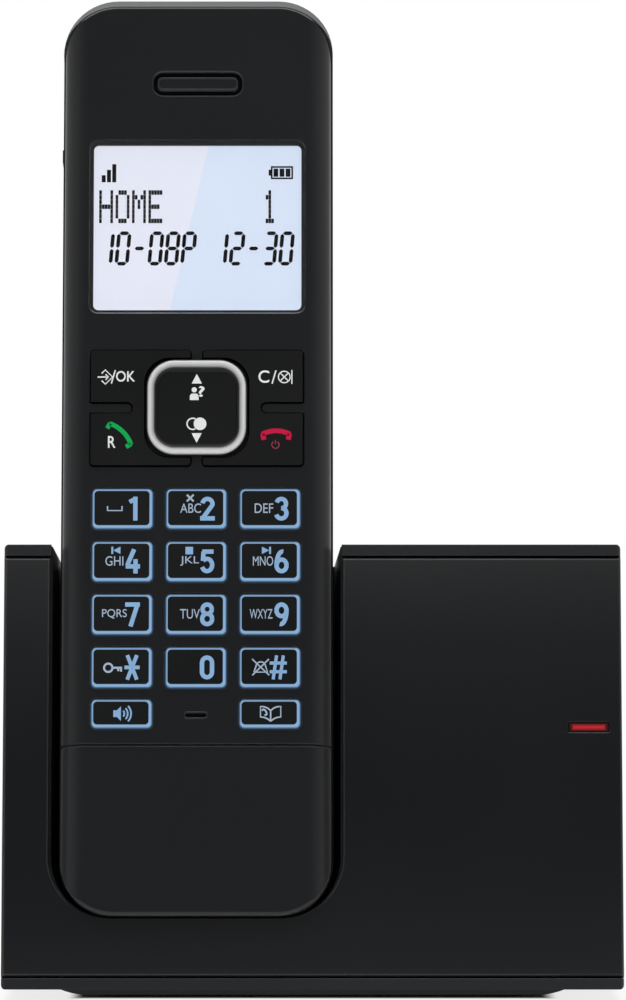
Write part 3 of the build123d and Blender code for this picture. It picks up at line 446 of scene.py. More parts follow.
def painted_edge_highlight(material, code, start=0.03, end=0.25, above=None, left_of=None):
    """Painted highlights on edges, all or a part of them: a paler colour where the rounded normal
    leaves the flat one.
    """
    tree = material.node_tree
    round_off = next(n for n in tree.nodes if n.type == "BEVEL").outputs[0]
    flat = add(tree, "ShaderNodeNewGeometry").outputs["True Normal"]
    same = vector_sums(tree, round_off, flat, "DOT_PRODUCT")["Value"]
    share = ramp(tree, same, 1 - start, 1 - end, 0.0, 1.0)
    for axis, limit, side in (("Y", above, "GREATER_THAN"), ("X", left_of, "LESS_THAN")):
        if limit is not None:
            part = sums(tree, face_place(tree)[axis], limit, side)
            share = sums(tree, share, part, "MULTIPLY")
    base = tree.nodes["Principled BSDF"].inputs["Base Color"]
    colour_between(tree, base, share, base.links[0].from_socket, code)
    return material


def crowned(material, middle_row, curve):
    """Bends a flat panel's normals as if it were slightly crowned across its height."""
    tree = material.node_tree
    rise = sums(tree, face_place(tree)["Y"], middle_row)
    height = sums(tree, sums(tree, rise, rise, "MULTIPLY"), -curve, "MULTIPLY")
    bump = next(n for n in tree.nodes if n.type == "BUMP")
    under = put(tree, "ShaderNodeBump", {
        "Height": height, "Distance": 1.0, "Strength": 1.0,
        "Normal": bump.inputs["Normal"].links[0].from_socket})
    tree.links.new(under, bump.inputs["Normal"])
    return material


def metal(name, code, rough_low, rough_high, size, relief, share=1.0):
    """A plated, painted or bare metal with a fine surface."""
    material, tree, shader = finish(name, Metallic=share, Base_Color=code)
    noise = grain(tree, shader, size, relief)
    worn(tree, shader, noise, rough_low, rough_high)
    return material


def painted_shade_below(material, unshaded_code, shade_code, top, start, end):
    """Painted shade: the colour turns darker down the sides, below a top height."""
    tree = material.node_tree
    place = in_face(HAND @ Vector((0, 0, top))).z
    share = ramp(tree, face_place(tree)["Z"], place - end * MM, place - start * MM, 1.0, 0.0)
    colour_between(tree, tree.nodes["Principled BSDF"].inputs["Base Color"], share, unshaded_code, shade_code)


def lit(name, code, glow, low, high, size=3.0):
    """Plastic or paint that is lit from behind; the light is a little uneven."""
    material, tree, shader = finish(name, Base_Color=code, Emission_Color=glow, Roughness=0.4)
    power = ramp(tree, cloud(tree, size), 0.3, 0.7, low, high)
    tree.links.new(power, shader.inputs["Emission Strength"])
    return material


def glowing(name, code, glow, node, low_power, high_power):
    """Tinted acrylic over a lamp: bright in the middle, dark towards its edges."""
    material, tree, shader = finish(name, Base_Color=code, Emission_Color=glow, Roughness=0.3)
    low, high = span(node, slope)
    mid = in_face(slope @ ((low + high) / 2))
    xyz = face_place(tree)
    off = []
    for axis, centre, core in zip("XY", mid, GLOW_CORE):
        away = sums(tree, sums(tree, xyz[axis], centre), 0.0, "ABSOLUTE")
        off.append(sums(tree, away, core * MM))
    power = ramp(tree, sums(tree, *off, "MAXIMUM"), 0.0, GLOW_EDGE * MM, high_power, low_power)
    tree.links.new(power, shader.inputs["Emission Strength"])
    grain(tree, shader, 0.5, 0.002)
    return material


def lit_rim(name, code, glow, top, depth, low, high):
    """A key's clear moulding with light inside: bright at the top, dark blue down its sides."""
    material, tree, shader = finish(name, Base_Color=code, Emission_Color=glow, Roughness=0.35)
    place = in_face(HAND @ Vector((0, 0, top))).z
    power = ramp(tree, face_place(tree)["Z"], place - depth * MM, place, low, high)
    tree.links.new(power, shader.inputs["Emission Strength"])
    grain(tree, shader, 0.3, 0.002)
    return material


# ABS moulded in a finely blasted tool: an even black with a soft sheen, paler at its sides.
SATIN = ("#0a0c0f", "#0c0e11", 0.33, 0.36, 0.25, 0.003)
satin_abs = matt_sides(moulded("satin_black_abs", *SATIN, 0.15, IOR=1.5, Sheen_Weight=SOFT_TOUCH))
# The same with a painted highlight along its upper edge at the seam: a thin pale line.
chin_top = in_face(HAND @ (span("handset_chin_cover", HAND)[1] - Vector((0, 1, 0)))).y
chin_abs = painted_edge_highlight(
    matt_sides(moulded("black_abs_painted_seam_highlight", *SATIN, 0.15, IOR=1.5, Sheen_Weight=SOFT_TOUCH)),
    "#3a3c3f", above=chin_top)
# The same in the base's front, which is a little crowned from its top to its bottom, so that it is
# paler at both, with painted highlights, a paler colour, along its edges all round but for the
# status light's.
panel_abs = crowned(
    painted_edge_highlight(moulded("satin_panel_abs", *SATIN, 0.4, IOR=1.5), "#5c5e62",
          left_of=(span("led_lens", slope)[0].x - 2.0) * MM),
    in_face(slope @ Vector((0, panel_low.y + PANEL_MIDDLE * (panel_high.y - panel_low.y), 0))).y,
    PANEL_CROWN)
# ABS moulded in a spark-eroded tool: a visible fine grain that breaks up reflections.
eroded_abs = moulded("spark_eroded_black_abs", "#111317", "#14161a", 0.48, 0.56, 0.35, 0.01, 0.3,
                     IOR=1.5)
# Black lacquer on the tops of the keys and plates: smooth and even.
lacquer = moulded("black_key_lacquer", "#0d0e0f", "#121314", 0.3, 0.36, 0.3, 0.002, IOR=1.48)
# Moulded rims painted paler as a highlight, where their raised edges would catch the light: thin
# lines round the trough and the slot.
rim_highlight = moulded("abs_rim_painted_highlight", "#1a1c1f", "#24262a", 0.34, 0.4, 0.2, 0.002, IOR=1.5)
# Screen print round the display: a dead black that hides the lens's edge.
print_black = moulded("screen_printed_black", "#040405", "#060607", 0.7, 0.8, 0.2, 0.001, IOR=1.45)
# Painted shade on the bed of the earpiece trough: black, with hardly a reflection.
trough_shade = moulded("trough_painted_shade", "#040404", "#060606", 0.7, 0.8, 0.3, 0.004,
                     Specular_IOR_Level=0.1)
# Rubber pressed in a mould: matt and greyer, with a coarse grain.
rubber = moulded("moulded_rubber", "#1f1f20", "#262627", 0.75, 0.85, 0.3, 0.02, IOR=1.5)
# Polyamide moulded for jacks: black with a dull shine.
polyamide = moulded("moulded_black_polyamide", "#101011", "#161617", 0.45, 0.55, 0.3, 0.01,
                    IOR=1.53)
# The moulded shells of speaker and microphone: dull dark grey.
speaker_shell = moulded("moulded_speaker_shell", "#151515", "#1b1b1b", 0.55, 0.65, 0.4, 0.01,
                        IOR=1.5)
# Silver paint on a moulding: flakes in a clear binder, so pale all round, with soft highlights.
SILVER = "#d6d6d6"
silver = metal("sprayed_silver_paint", SILVER, 0.48, 0.54, 0.2, 0.001, share=0.25)
# Painted shade: the silver darkens down the ring's sides below its crest.
painted_shade_below(silver, SILVER, "#0b0c0d", span("nav_ring", HAND)[1].z, *SHADE_REACH)
# Nickel-plated spring strip: warm, fairly bright reflections.
nickel = metal("nickel_plated_spring_strip", "#c9c4b6", 0.22, 0.34, 0.15, 0.001)
# Tinned sheet: a dull grey gleam.
tin = metal("tinned_sheet", "#b9b8b2", 0.35, 0.5, 0.6, 0.003)
# Zinc-plated steel: cool and a little darker.
zinc = metal("zinc_plated_steel", "#9fa1a4", 0.3, 0.42, 0.2, 0.002)
# Polycarbonate lit from inside: the keys' blue borders, dark blue where they go down.
lit_blue = lit_rim("lit_blue_polycarbonate", "#1d3350", "#8ab1d6", span("key_5", HAND)[1].z, 0.25,
                   0.05, 0.88)
# Marks etched through the lacquer, lit: blue digits, paler letters and signs.
etched_digit = lit("etched_digit_blue", "#384f68", "#88add2", 0.74, 0.82)
etched_mark = lit("etched_pale_blue", "#4c5562", "#a3b4c8", 0.72, 0.8)
# Printed inks: flat colours on the black plates.
print_white = moulded("printed_white_ink", "#dadcdc", "#e0e2e2", 0.5, 0.6, 0.15, 0.002)
print_green = moulded("printed_green_ink", "#0b9a4a", "#0da04e", 0.6, 0.7, 0.15, 0.002,
                      Specular_IOR_Level=0.1)
print_red = moulded("printed_red_ink", "#b8123a", "#be143f", 0.6, 0.7, 0.15, 0.002,
                    Specular_IOR_Level=0.1)
print_dim_red = moulded("printed_dim_red_ink", "#7d1d38", "#86223e", 0.5, 0.6, 0.15, 0.002)
# The display's switched segments: black, without a reflection.
display_ink = moulded("display_segments", "#030304", "#050506", 0.9, 0.95, 0.3, 0.001,
                      Specular_IOR_Level=0.1)
# Red acrylic over the status light: a bright red bar with dark ends.
red_pipe = glowing("red_acrylic_light_pipe", "#30090b", "#d6262f", "led_lens", 0.0, 0.7)


def clear_acrylic():
    """Cast acrylic with an anti-glare coating: clear, with a faint reflection."""
    material, tree, shader = finish("clear_acrylic_window", IOR=1.2, Roughness=0.02,
                                    Base_Color="#ffffff", Transmission_Weight=1.0)
    grain(tree, shader, 6.0, 0.0004, 1.0)
    return material


def display_glass():
    """A lit display behind its polariser: bluish white, with a painted glare reflection that makes
    it paler to the left of a slanting line.
    """
    low, high = span("display_panel", HAND)
    material, tree, shader = finish("lit_display_glass", Base_Color="#5c6068", Roughness=0.35)
    xyz = face_place(tree)
    edge = sums(tree, xyz["X"], sums(tree, xyz["Y"], GLARE_SLANT, "MULTIPLY"))
    line = in_face(HAND @ Vector((GLARE_AT, (low.y + high.y) / 2, 0)))
    start = line.x - GLARE_SLANT * line.y
    step = ramp(tree, edge, start - GLARE_EDGE * MM, start + GLARE_EDGE * MM, 0.0, 1.0)
    colour_between(tree, shader.inputs["Emission Color"], step, "#e6e8f6", "#d6e3f8")
    power = ramp(tree, cloud(tree, 12.0), 0.0, 1.0, 0.8, 0.86)
    tree.links.new(power, shader.inputs["Emission Strength"])
    return material


def laminate():
    """Glass-fibre laminate under green lacquer, with copper tracks showing as a paler pattern."""
    material, tree, shader = finish("lacquered_laminate", Roughness=0.3, IOR=1.52)
    place = add(tree, "ShaderNodeTexCoord").outputs["Object"]
    tracks = add(tree, "ShaderNodeTexBrick", {
        "Vector": place, "Scale": 1 / (6 * MM), "Color1": tint("#0f4a2a"),
        "Color2": tint("#125231"), "Mortar": tint("#2b7a49"), "Mortar Size": 0.05})
    tree.links.new(tracks.outputs["Color"], shader.inputs["Base Color"])
    grain(tree, shader, 0.5, 0.004)
    return material


def cell_sleeve():
    """A shrunk plastic sleeve on a battery cell, glossy green, with a pale band at one end."""
    material, tree, shader = finish("shrunk_cell_sleeve", Roughness=0.3, IOR=1.5)
    top = in_face(HAND @ span("battery_cell_left", HAND)[1]).y
    low, high = (top - edge * MM for edge in SLEEVE_BAND)
    share = ramp(tree, face_place(tree)["Y"], low, high, 0.0, 1.0)
    colour_between(tree, shader.inputs["Base Color"], share, "#1c7a45", "#d0d4cc")
    grain(tree, shader, 1.5, 0.004)
    return material


acrylic, glass, board, sleeve = clear_acrylic(), display_glass(), laminate(), cell_sleeve()

NODE_FINISHES = {
    satin_abs: ("handset_front_cover", "earpiece_grille"),
    chin_abs: ("handset_chin_cover",),
    panel_abs: ("base_front_panel",),
    eroded_abs: ("handset_rear_cover", "battery_door", "base_housing", "base_bottom_plate",
                 "page_key", "cradle_pocket"),
    lit_blue: [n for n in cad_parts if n.startswith("key_")],
    lacquer: ("left_function_key", "right_function_key", "nav_key"),
    rubber: ("base_feet", "keypad_mat"),
    polyamide: ("line_jack", "power_jack", "page_switch"),
    speaker_shell: ("earpiece_speaker", "loudspeaker", "microphone"),
    nickel: ("handset_charge_pads", "charge_contact_left", "charge_contact_right",
             "battery_contacts", "power_jack_pin"),
    tin: ("handset_radio_can", "base_radio_can", "handset_aerial", "base_aerials"),
    zinc: ("handset_screws", "base_screws", "board_screws"),
    board: ("handset_board", "base_board", "led_board"),
    sleeve: ("battery_cell_left", "battery_cell_right"),
    acrylic: ("display_lens",),
    glass: ("display_panel", "display_backlight"),
    red_pipe: ("led_lens", "status_led"),
}
for material, names in NODE_FINISHES.items():
    for name in names:
        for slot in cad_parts[name].material_slots:
            slot.material = material


# ---- marks on keys and plates

BLOCK, RING, STROKES, REPEAT = block_tree(), ring_tree(), stroke_tree(), repeat_tree()


def strokes(lines, width):
    return grow(STROKES, {"Width": width, "Thickness": INK}, lines)


def lettering(body, width, height, bold=0.0):
    """Letters that fill a width and a height, centred."""
    text = bpy.data.curves.new("letters", "FONT")
    text.body = body
    text.offset = bold
    text.extrude = 0.01
    text.resolution_u = 6
    mesh = taken(bpy.data.objects.new("letters", text))
    low, high = limits([v.co for v in mesh.vertices])
    size = high - low
    mesh.transform(Matrix.Translation(-(low + high) / 2))
    mesh.transform(Matrix.Diagonal((width / size.x, height / size.y, INK / size.z, 1)))
    return mesh


def solid(*outlines):
    return prism(outlines, -INK / 2, INK / 2)


def circle(x, y, radius, steps=24):
    return arc(x, y, radius, 0, 360 * (1 - 1 / steps), steps - 1)


def handset_sign(length, thick, flat=1.9):
    """A telephone handset lying with its back up: a bent grip with a pad at each end."""
    reach = length / 2 - thick / 2
    radius = reach * flat
    spread = degrees(asin(1 / flat))
    drop = radius * cos(radians(spread))
    grip = arc(0, -drop, radius, 90 + spread, 90 - spread)
    pads = [[(turn * (reach + thick * 0.22), -thick * 0.62),
             (turn * (reach - thick * 0.75), -thick * 0.4)] for turn in (-1, 1)]
    return joined([(strokes([grip], thick), Matrix()), (strokes(pads, thick * 1.3), Matrix())])


def loud_sign():
    horn = [(-1.7, -0.6), (-1.05, -0.6), (-0.35, -1.3), (-0.35, 1.3), (-1.05, 0.6), (-1.7, 0.6)]
    waves = [arc(-0.6, 0, r, -a, a, 10) for r, a in ((0.85, 38), (1.45, 42), (2.05, 42))]
    return joined([(solid(horn), Matrix()), (strokes(waves, 0.3), Matrix())])


def book_sign():
    page = [(0, 0.55), (0.55, 1.0), (1.2, 1.25), (1.8, 1.28), (1.8, -0.6), (1.2, -0.65),
            (0.55, -0.92), (0, -1.36)]
    other = [(-x, y) for x, y in page]
    lines = [page, other, [(0, 0.55), (0, -1.36)]]
    small = handset_sign(1.5, 0.3, 1.6)
    return joined([(strokes(lines, 0.26), Matrix()), (small, at(-1.02, 0.3, 0, radians(-60)))])


def skip_sign(turn):
    arrow = [(-turn * 0.72, 0), (turn * 0.55, 0.66), (turn * 0.55, -0.66)]
    bar = rectangle(0.34, 1.3, -turn * 0.9)
    return joined([(solid(arrow[::turn]), Matrix()), (solid(bar), Matrix())])


def bend(x, y, across, up, start, end, steps=16):
    """Points along a part of an ellipse."""
    return [(x + across * a, y + up * b) for a, b in arc(0, 0, 1, start, end, steps)]


SIDE, TOP = 0.89, 1.765  # half width and half height of a digit's middle line
DIGIT_STROKE = 0.78
SIX = [bend(0, -TOP + 1.05, SIDE, 1.05, 0, 360, 24),
       bend(0.15, -TOP + 1.05, SIDE + 0.15, 2.48, 180, 82)]
DIGITS = {
    "0": [bend(0, TOP - 0.95, SIDE, 0.95, 0, 180) + bend(0, 0.95 - TOP, SIDE, 0.95, 180, 360)
          + [(SIDE, TOP - 0.95)]],
    "1": [[(0.42, TOP + 0.4), (0.42, -TOP - 0.4)], [(-0.62, 1.2), (0.3, 1.72)]],
    "2": [bend(0, TOP - 0.92, SIDE, 0.92, 172, -12) + [(-SIDE + 0.1, -TOP + 0.1)],
          [(-SIDE - 0.42, -TOP), (SIDE + 0.42, -TOP)]],
    "3": [bend(-0.05, TOP - 0.86, SIDE - 0.05, 0.86, 165, -90),
          bend(-0.05, -TOP + 0.93, SIDE + 0.03, 0.95, 90, -165)],
    "4": [[(0.25, TOP + 0.42), (-0.98, -0.7)], [(-1.25, -0.9), (1.3, -0.9)],
          [(0.5, 0.4), (0.5, -TOP - 0.42)]],
    "5": [[(-0.9, TOP), (1.1, TOP)], [(-0.68, TOP), (-0.78, 0.1)],
          bend(-0.05, -TOP + 1.12, SIDE + 0.03, 1.12, 138, -160)],
    "6": SIX,
    "7": [[(-SIDE - 0.42, TOP), (SIDE + 0.42, TOP)], [(SIDE - 0.02, TOP), (-0.35, -TOP - 0.42)]],
    "8": [bend(0, TOP - 0.84, SIDE - 0.07, 0.84, 0, 360, 24),
          bend(0, -TOP + 0.94, SIDE, 0.94, 0, 360, 24)],
    "9": [[(-x, -y) for x, y in line] for line in SIX],
}
SIGNS = {
    # lines, and the width of their strokes
    "star": ([[(-0.85, -2.2), (0.85, 2.2)], [(-0.85, 2.2), (0.85, -2.2)],
              [(-1.35, 0), (1.35, 0)]], 0.66),
    "hash": ([[(x - 0.3, -2.15), (x + 0.3, 2.15)] for x in (-0.6, 0.6)]
             + [[(-1.52, y), (1.52, y)] for y in (-0.78, 0.78)], 0.56),
    "lock": ([arc(-1.1, 0, 0.75, 0, 360, 24), [(-0.38, 0), (1.35, 0)],
              [(1.17, 0.05), (1.17, -0.68)], [(0.68, 0.05), (0.68, -0.6)]], 0.36),
    "silent": ([[(-1.2, -0.85), *arc(0, 0.15, 0.85, 175, 5, 10), (1.2, -0.85), (-1.2, -0.85)],
                [(-1.55, 1.5), (1.5, -1.4)], [(1.45, 1.5), (-1.5, -1.4)]], 0.24),
    "space": ([[(-1.29, 0.4), (-1.29, -0.4), (1.29, -0.4), (1.29, 0.4)]], 0.26),
    "cross": ([[(-0.6, -0.6), (0.6, 0.6)], [(-0.6, 0.6), (0.6, -0.6)]], 0.34),
}
SHAPES = {
    "stop": lambda: solid(rectangle(1.35, 1.35)),
    "back": lambda: skip_sign(1),
    "forward": lambda: skip_sign(-1),
    "loud": loud_sign,
    "book": book_sign,
}


def mark(name):
    """A digit or sign, flat and centred."""
    if name in DIGITS:
        return strokes(DIGITS[name], DIGIT_STROKE)
    return strokes(*SIGNS[name]) if name in SIGNS else SHAPES[name]()


LETTER_HEIGHT = 1.72
LETTER_RISE = 0.08  # of the letters' middle above the key's
KEY_MARKS = {
    # main mark and its place across; letters, their width and right end; small sign and its place
    "key_1": ("1", 1.85, None, 0, 0, "space", (-1.4, 0.05)),
    "key_2": ("2", 1.98, "ABC", 3.7, 0.82, "cross", (-1.1, 1.92)),
    "key_3": ("3", 2.05, "DEF", 3.3, 0.55, None, None),
    "key_4": ("4", 1.85, "GHI", 3.2, 0.18, "back", (-0.9, 2.0)),
    "key_5": ("5", 1.98, "JKL", 3.35, 0.5, "stop", (-1.24, 1.95)),
    "key_6": ("6", 2.05, "MNO", 3.6, 0.55, "forward", (-0.9, 2.0)),
    "key_7": ("7", 1.85, "PQRS", 4.4, 0.84, None, None),
    "key_8": ("8", 1.98, "TUV", 3.5, 0.67, None, None),
    "key_9": ("9", 2.05, "WXYZ", 4.05, 0.44, None, None),
    "key_star": ("star", 1.82, None, 0, 0, "lock", (-1.3, -0.07)),
    "key_0": ("0", 1.98, None, 0, 0, None, None),
    "key_hash": ("hash", 1.48, None, 0, 0, "silent", (-1.62, 0.0)),
    "key_loudspeaker": (None, 0, None, 0, 0, "loud", (0.24, 0.0)),
    "key_phone_book": (None, 0, None, 0, 0, "book", (0.14, 0.0)),
}
BLUE_SIGNS = ("key_4", "key_5", "key_6", "key_loudspeaker")  # in the digits' blue
CAP_SIDES = (0.45, 0.7)  # lit border left and right of the black cap
CAP_ENDS = (0.7, 0.45)  # below and above it
CAP_RISE = 0.1
CAP_CORNER = 0.7
CAP_EDGE = 0.08
CAP_SUNK = 0.2  # of the cap, in the key under it
KEY_TOP = 0.05  # above this height a key's box is that of its visible top


def dress_keys():
    """Black caps on the lit keys, with their digits, letters and signs."""
    for name, (main, across, letters, width, end, sign, sign_at) in KEY_MARKS.items():
        low, high = span(name, HAND, above=KEY_TOP)
        top = span(name, HAND)[1].z
        size = (high.x - low.x - sum(CAP_SIDES), high.y - low.y - sum(CAP_ENDS))
        cap = grow(BLOCK, {"Width": size[0], "Height": size[1], "Corner": CAP_CORNER,
                           "Depth": CAP_RISE + CAP_SUNK, "Edge": CAP_EDGE})
        cap.transform(at(low.x + CAP_SIDES[0] + size[0] / 2, low.y + CAP_ENDS[0] + size[1] / 2,
                         top + CAP_RISE))
        piece(name + "_cap", cap, name, lacquer)
        mid = (low + high) / 2
        face = top + CAP_RISE + INK / 4
        blue, pale = [], []
        if main:
            blue.append((mark(main), at(mid.x + across, mid.y, face)))
        if letters:
            pale.append((lettering(letters, width, LETTER_HEIGHT),
                         at(mid.x + end - width / 2, mid.y + LETTER_RISE, face)))
        if sign:
            marks = blue if name in BLUE_SIGNS else pale
            marks.append((mark(sign), at(mid.x + sign_at[0], mid.y + sign_at[1], face)))
        for marks, ending, material in ((blue, "_digit", etched_digit),
                                        (pale, "_letters", etched_mark)):
            if marks:
                piece(name + ending, joined(marks), name, material)


def dress_plates():
    """Printed signs on the function plates and on the navigation key."""
    row = middle("nav_key", HAND).y
    face = span("left_function_key", HAND)[1].z + INK / 4
    menu = strokes([[(-0.65, 0.65), (0, 1.3), (1.3, 0), (0, -1.3), (-0.65, -0.65)],
                    [(-1.37, 0), (0.3, 0)], [(0.05, 0.5), (0.55, 0), (0.05, -0.5)]], 0.23)
    slash = strokes([[(-0.35, -1.22), (0.35, 1.22)]], 0.24)
    left = [(menu, at(-16.38, row + 5.59, face)), (slash, at(-14.95, row + 5.62, face)),
            (lettering("OK", 3.4, 1.93, 0.01), at(-12.76, row + 5.72, face)),
            (lettering("R", 1.35, 2.13, 0.01), at(-15.17, row - 6.24, face))]
    green = [(handset_sign(6.3, 0.82, 2.3), at(-13.65, row - 4.8, face, radians(-45)))]
    ring = strokes([arc(0, 0, 1.05, 0, 360, 28), [(-0.72, -0.72), (0.72, 0.72)],
                    [(-0.72, 0.72), (0.72, -0.72)]], 0.2)
    right = [(lettering("C", 1.95, 2.28, 0.01), at(12.0, row + 5.67, face)),
             (slash, at(13.82, row + 5.6, face)), (ring, at(15.66, row + 5.6, face)),
             (strokes([[(0, -1.27), (0, 1.27)]], 0.2), at(17.02, row + 5.6, face))]
    red = [(handset_sign(5.9, 0.86, 2.1), at(14.2, row - 4.85, face))]
    power = strokes([arc(0, 0, 0.66, 125, 415, 20), [(0, 0.1), (0, 0.85)]], 0.2)
    power = [(power, at(14.1, row - 6.75, face))]
    face = span("nav_key", HAND)[1].z + INK / 4
    person = [(-0.8, -0.62), (0.8, -0.62), *arc(0.28, 0.06, 0.5, 0, 90, 5),
              *arc(-0.28, 0.06, 0.5, 90, 180, 5)]
    nav = [(solid([(-0.92, 0), (0.92, 0), (0, 1.75)]), at(0, row + 4.4, face)),
           (solid(person), at(-0.45, row + 2.0, face)),
           (solid(circle(0, 0, 0.47)), at(-0.45, row + 3.25, face)),
           (lettering("?", 1.1, 1.95, 0.02), at(0.85, row + 2.95, face)),
           (strokes([arc(0, 0, 1.02, 62, 298, 20)], 0.25), at(-0.7, row - 2.95, face)),
           (solid(circle(0, 0, 1.15)), at(0.6, row - 2.95, face)),
           (solid([(-0.9, 0), (0, -1.75), (0.9, 0)]), at(0, row - 4.65, face))]
    for name, marks, key, ink in (
            ("left_function_signs", left, "left_function_key", print_white),
            ("answer_sign", green, "left_function_key", print_green),
            ("right_function_signs", right, "right_function_key", print_white),
            ("hang_up_sign", red, "right_function_key", print_red),
            ("power_sign", power, "right_function_key", print_dim_red),
            ("navigation_signs", nav, "nav_key", print_white)):
        piece(name, joined(marks), key, ink)


RING_BAND = 2.15
RING_CORNER = 5.15
RING_CREST = 0.3  # place of the ring's highest line, as a share of its width
RING_SHARP = 1.2


def crest(width, rise, share, foot, sharp):
    """A ring's section, its y downwards: an outer side, an inner side and a flat foot.

    Above 1, sharp makes the sides flatter and the crest narrower."""
    peak = width * (0.5 - share)
    sides = []
    for across, start in ((width * share, 0), (width * (1 - share), 90)):
        for x, y in arc(0, 0, 1, start, start + 90, 10):
            sides.append((peak + across * copysign(abs(x) ** sharp, x), -rise * abs(y) ** sharp))
    return sides + [(-width / 2, foot), (width / 2, foot), sides[0]]


def rim(low, high, width, rise, corner, share=0.5, sharp=1.0):
    """A ring with its band just inside a box."""
    band = grow(RING, {"Width": high.x - low.x - width, "Height": high.y - low.y - width,
                       "Corner": corner - width / 2}, [crest(width, rise, share, INK, sharp)])
    band.transform(at((low.x + high.x) / 2, (low.y + high.y) / 2))
    return band


def dress_ring():
    """The silver ring: round on its outside, sloping down to the key on its inside."""
    low, high = span("nav_ring", HAND)
    band = rim(low, high, RING_BAND, high.z, RING_CORNER, RING_CREST, RING_SHARP)
    ring = piece("silver_ring", band, "handset", silver)
    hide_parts("nav_ring")


# ---- display picture

DOTS = {
    "H": ("10001", "10001", "10001", "11111", "10001", "10001", "10001"),
    "O": ("01110", "10001", "10001", "10001", "10001", "10001", "01110"),
    "M": ("10001", "11011", "10101", "10101", "10001", "10001", "10001"),
    "E": ("11111", "10000", "10000", "11110", "10000", "10000", "11111"),
    "1": ("00100", "01100", "00100", "00100", "00100", "00100", "01110"),
}
DOT_PITCH = (0.506, 0.873)
DOT_SIZE = (0.47, 0.83)
CELL_PITCH = 2.96
SEGMENTS = {"0": "abcdef", "1": "bc", "2": "abged", "3": "abgcd", "8": "abcdefg", "-": "g",
            "P": "abefg"}
SEGMENT_BOX = (2.58, 6.28)
SEGMENT_WIDTH = 0.68
SEGMENT_GAP = 0.09
SEGMENT_SLANT = tan(radians(5.0))


def dot_places(word, x, top):
    """Places of the dots of a word whose upper left dot is at x, top."""
    return [(x + i * CELL_PITCH + column * DOT_PITCH[0], top - row * DOT_PITCH[1])
            for i, letter in enumerate(word) for row, line in enumerate(DOTS.get(letter, ()))
            for column, dot in enumerate(line) if dot == "1"]


def segment(start, end):
    """One bar of a digit, pointed at both ends."""
    a, b = Vector(start), Vector(end)
    along = (b - a).normalized()
    side = Vector((-along.y, along.x)) * SEGMENT_WIDTH / 2
    a, b = a + along * SEGMENT_GAP, b - along * SEGMENT_GAP
    point = along * SEGMENT_WIDTH / 2
    outline = [a, a + point - side, b - point - side, b, b - point + side, a + point + side]
    return [(p.x + p.y * SEGMENT_SLANT, p.y) for p in outline]


def digits(word, x, low):
    """Slanting seven-segment digits from a left end and a base line."""
    w, h = SEGMENT_BOX[0] - SEGMENT_WIDTH, SEGMENT_BOX[1] - SEGMENT_WIDTH
    corners = {"a": ((0, h), (w, h)), "b": ((w, h), (w, h / 2)), "c": ((w, h / 2), (w, 0)),
               "d": ((w, 0), (0, 0)), "e": ((0, 0), (0, h / 2)), "f": ((0, h / 2), (0, h)),
               "g": ((0, h / 2), (w, h / 2))}
    half = SEGMENT_WIDTH / 2
    return [(solid(segment(*corners[s])), at(x + i * CELL_PITCH + half, low + half))
            for i, sign in enumerate(word) for s in SEGMENTS[sign]]


def dress_display():
    """The picture on the lit display: a line of dots, a line of digits and two signs."""
    low, high = span("display_panel", HAND)
    face = high.z + INK
    mid = (low.y + high.y) / 2
    places = dot_places("HOME", -17.5, mid + 6.62) + dot_places("1", 12.0, mid + 6.62)
    dots = grow(REPEAT, {"Width": DOT_SIZE[0], "Height": DOT_SIZE[1], "Thickness": INK},
                [[p] for p in places])
    numbers = joined(digits("10-08P", -17.9, mid - 6.84) + digits("12-30", 2.65, mid - 6.84))
    bars = [(solid(rectangle(0.72, h)), at(-16.95 + i * 0.95, mid + 8.52 + h / 2))
            for i, h in enumerate((1.3, 2.3, 3.35))]
    outline = rectangle(4.0, 2.4)
    shell = solid(outline, rectangle(3.4, 1.8))
    cells = [(solid(rectangle(0.85, 1.5)), at(14.1 + i * 1.1, mid + 10.3)) for i in range(3)]
    nub = [(solid(rectangle(0.4, 1.1)), at(13.0, mid + 10.3))]
    signs = joined(bars + cells + nub + [(shell, at(15.2, mid + 10.3))])
    for name, mesh in (("display_dots", dots), ("display_digits", numbers),
                       ("display_signs", signs)):
        mesh.transform(at(0, 0, face))
        piece(name, mesh, "handset", display_ink)


# ---- dark print, trough and rims

LENS_BORDER = 0.7  # printed black, all round the clear part of the lens
LENS_CORNER = 1.7
PRINT_INSET = 0.05
PRINT_BEHIND = 0.02  # behind the lens
TROUGH = (16.1, 4.4, 1.8)  # width, height and corner of the earpiece trough
TROUGH_DEPTH = 0.8
TROUGH_RIM = 0.22
INSERT_RIM = 0.34
INSERT_CORNER = 0.9
SLOT = (4.35, 1.35)  # of the microphone
SLOT_RIM = 0.3
RIM_RISE = 0.06


def round_box(low, high, corner):
    """The outline of a box with round corners."""
    inner = ((high.x, high.y, 0), (low.x, high.y, 90), (low.x, low.y, 180), (high.x, low.y, 270))
    return [p for x, y, turn in inner
            for p in arc(x - corner * copysign(1, x - (low.x + high.x) / 2),
                         y - corner * copysign(1, y - (low.y + high.y) / 2),
                         corner, turn, turn + 90, 8)]


def inset(low, high, by):
    step = Vector((by, by, 0))
    return low + step, high - step


def around(x, y, width, height):
    """The corners of a box about a middle."""
    half = Vector((width / 2, height / 2, 0))
    return Vector((x, y, 0)) - half, Vector((x, y, 0)) + half


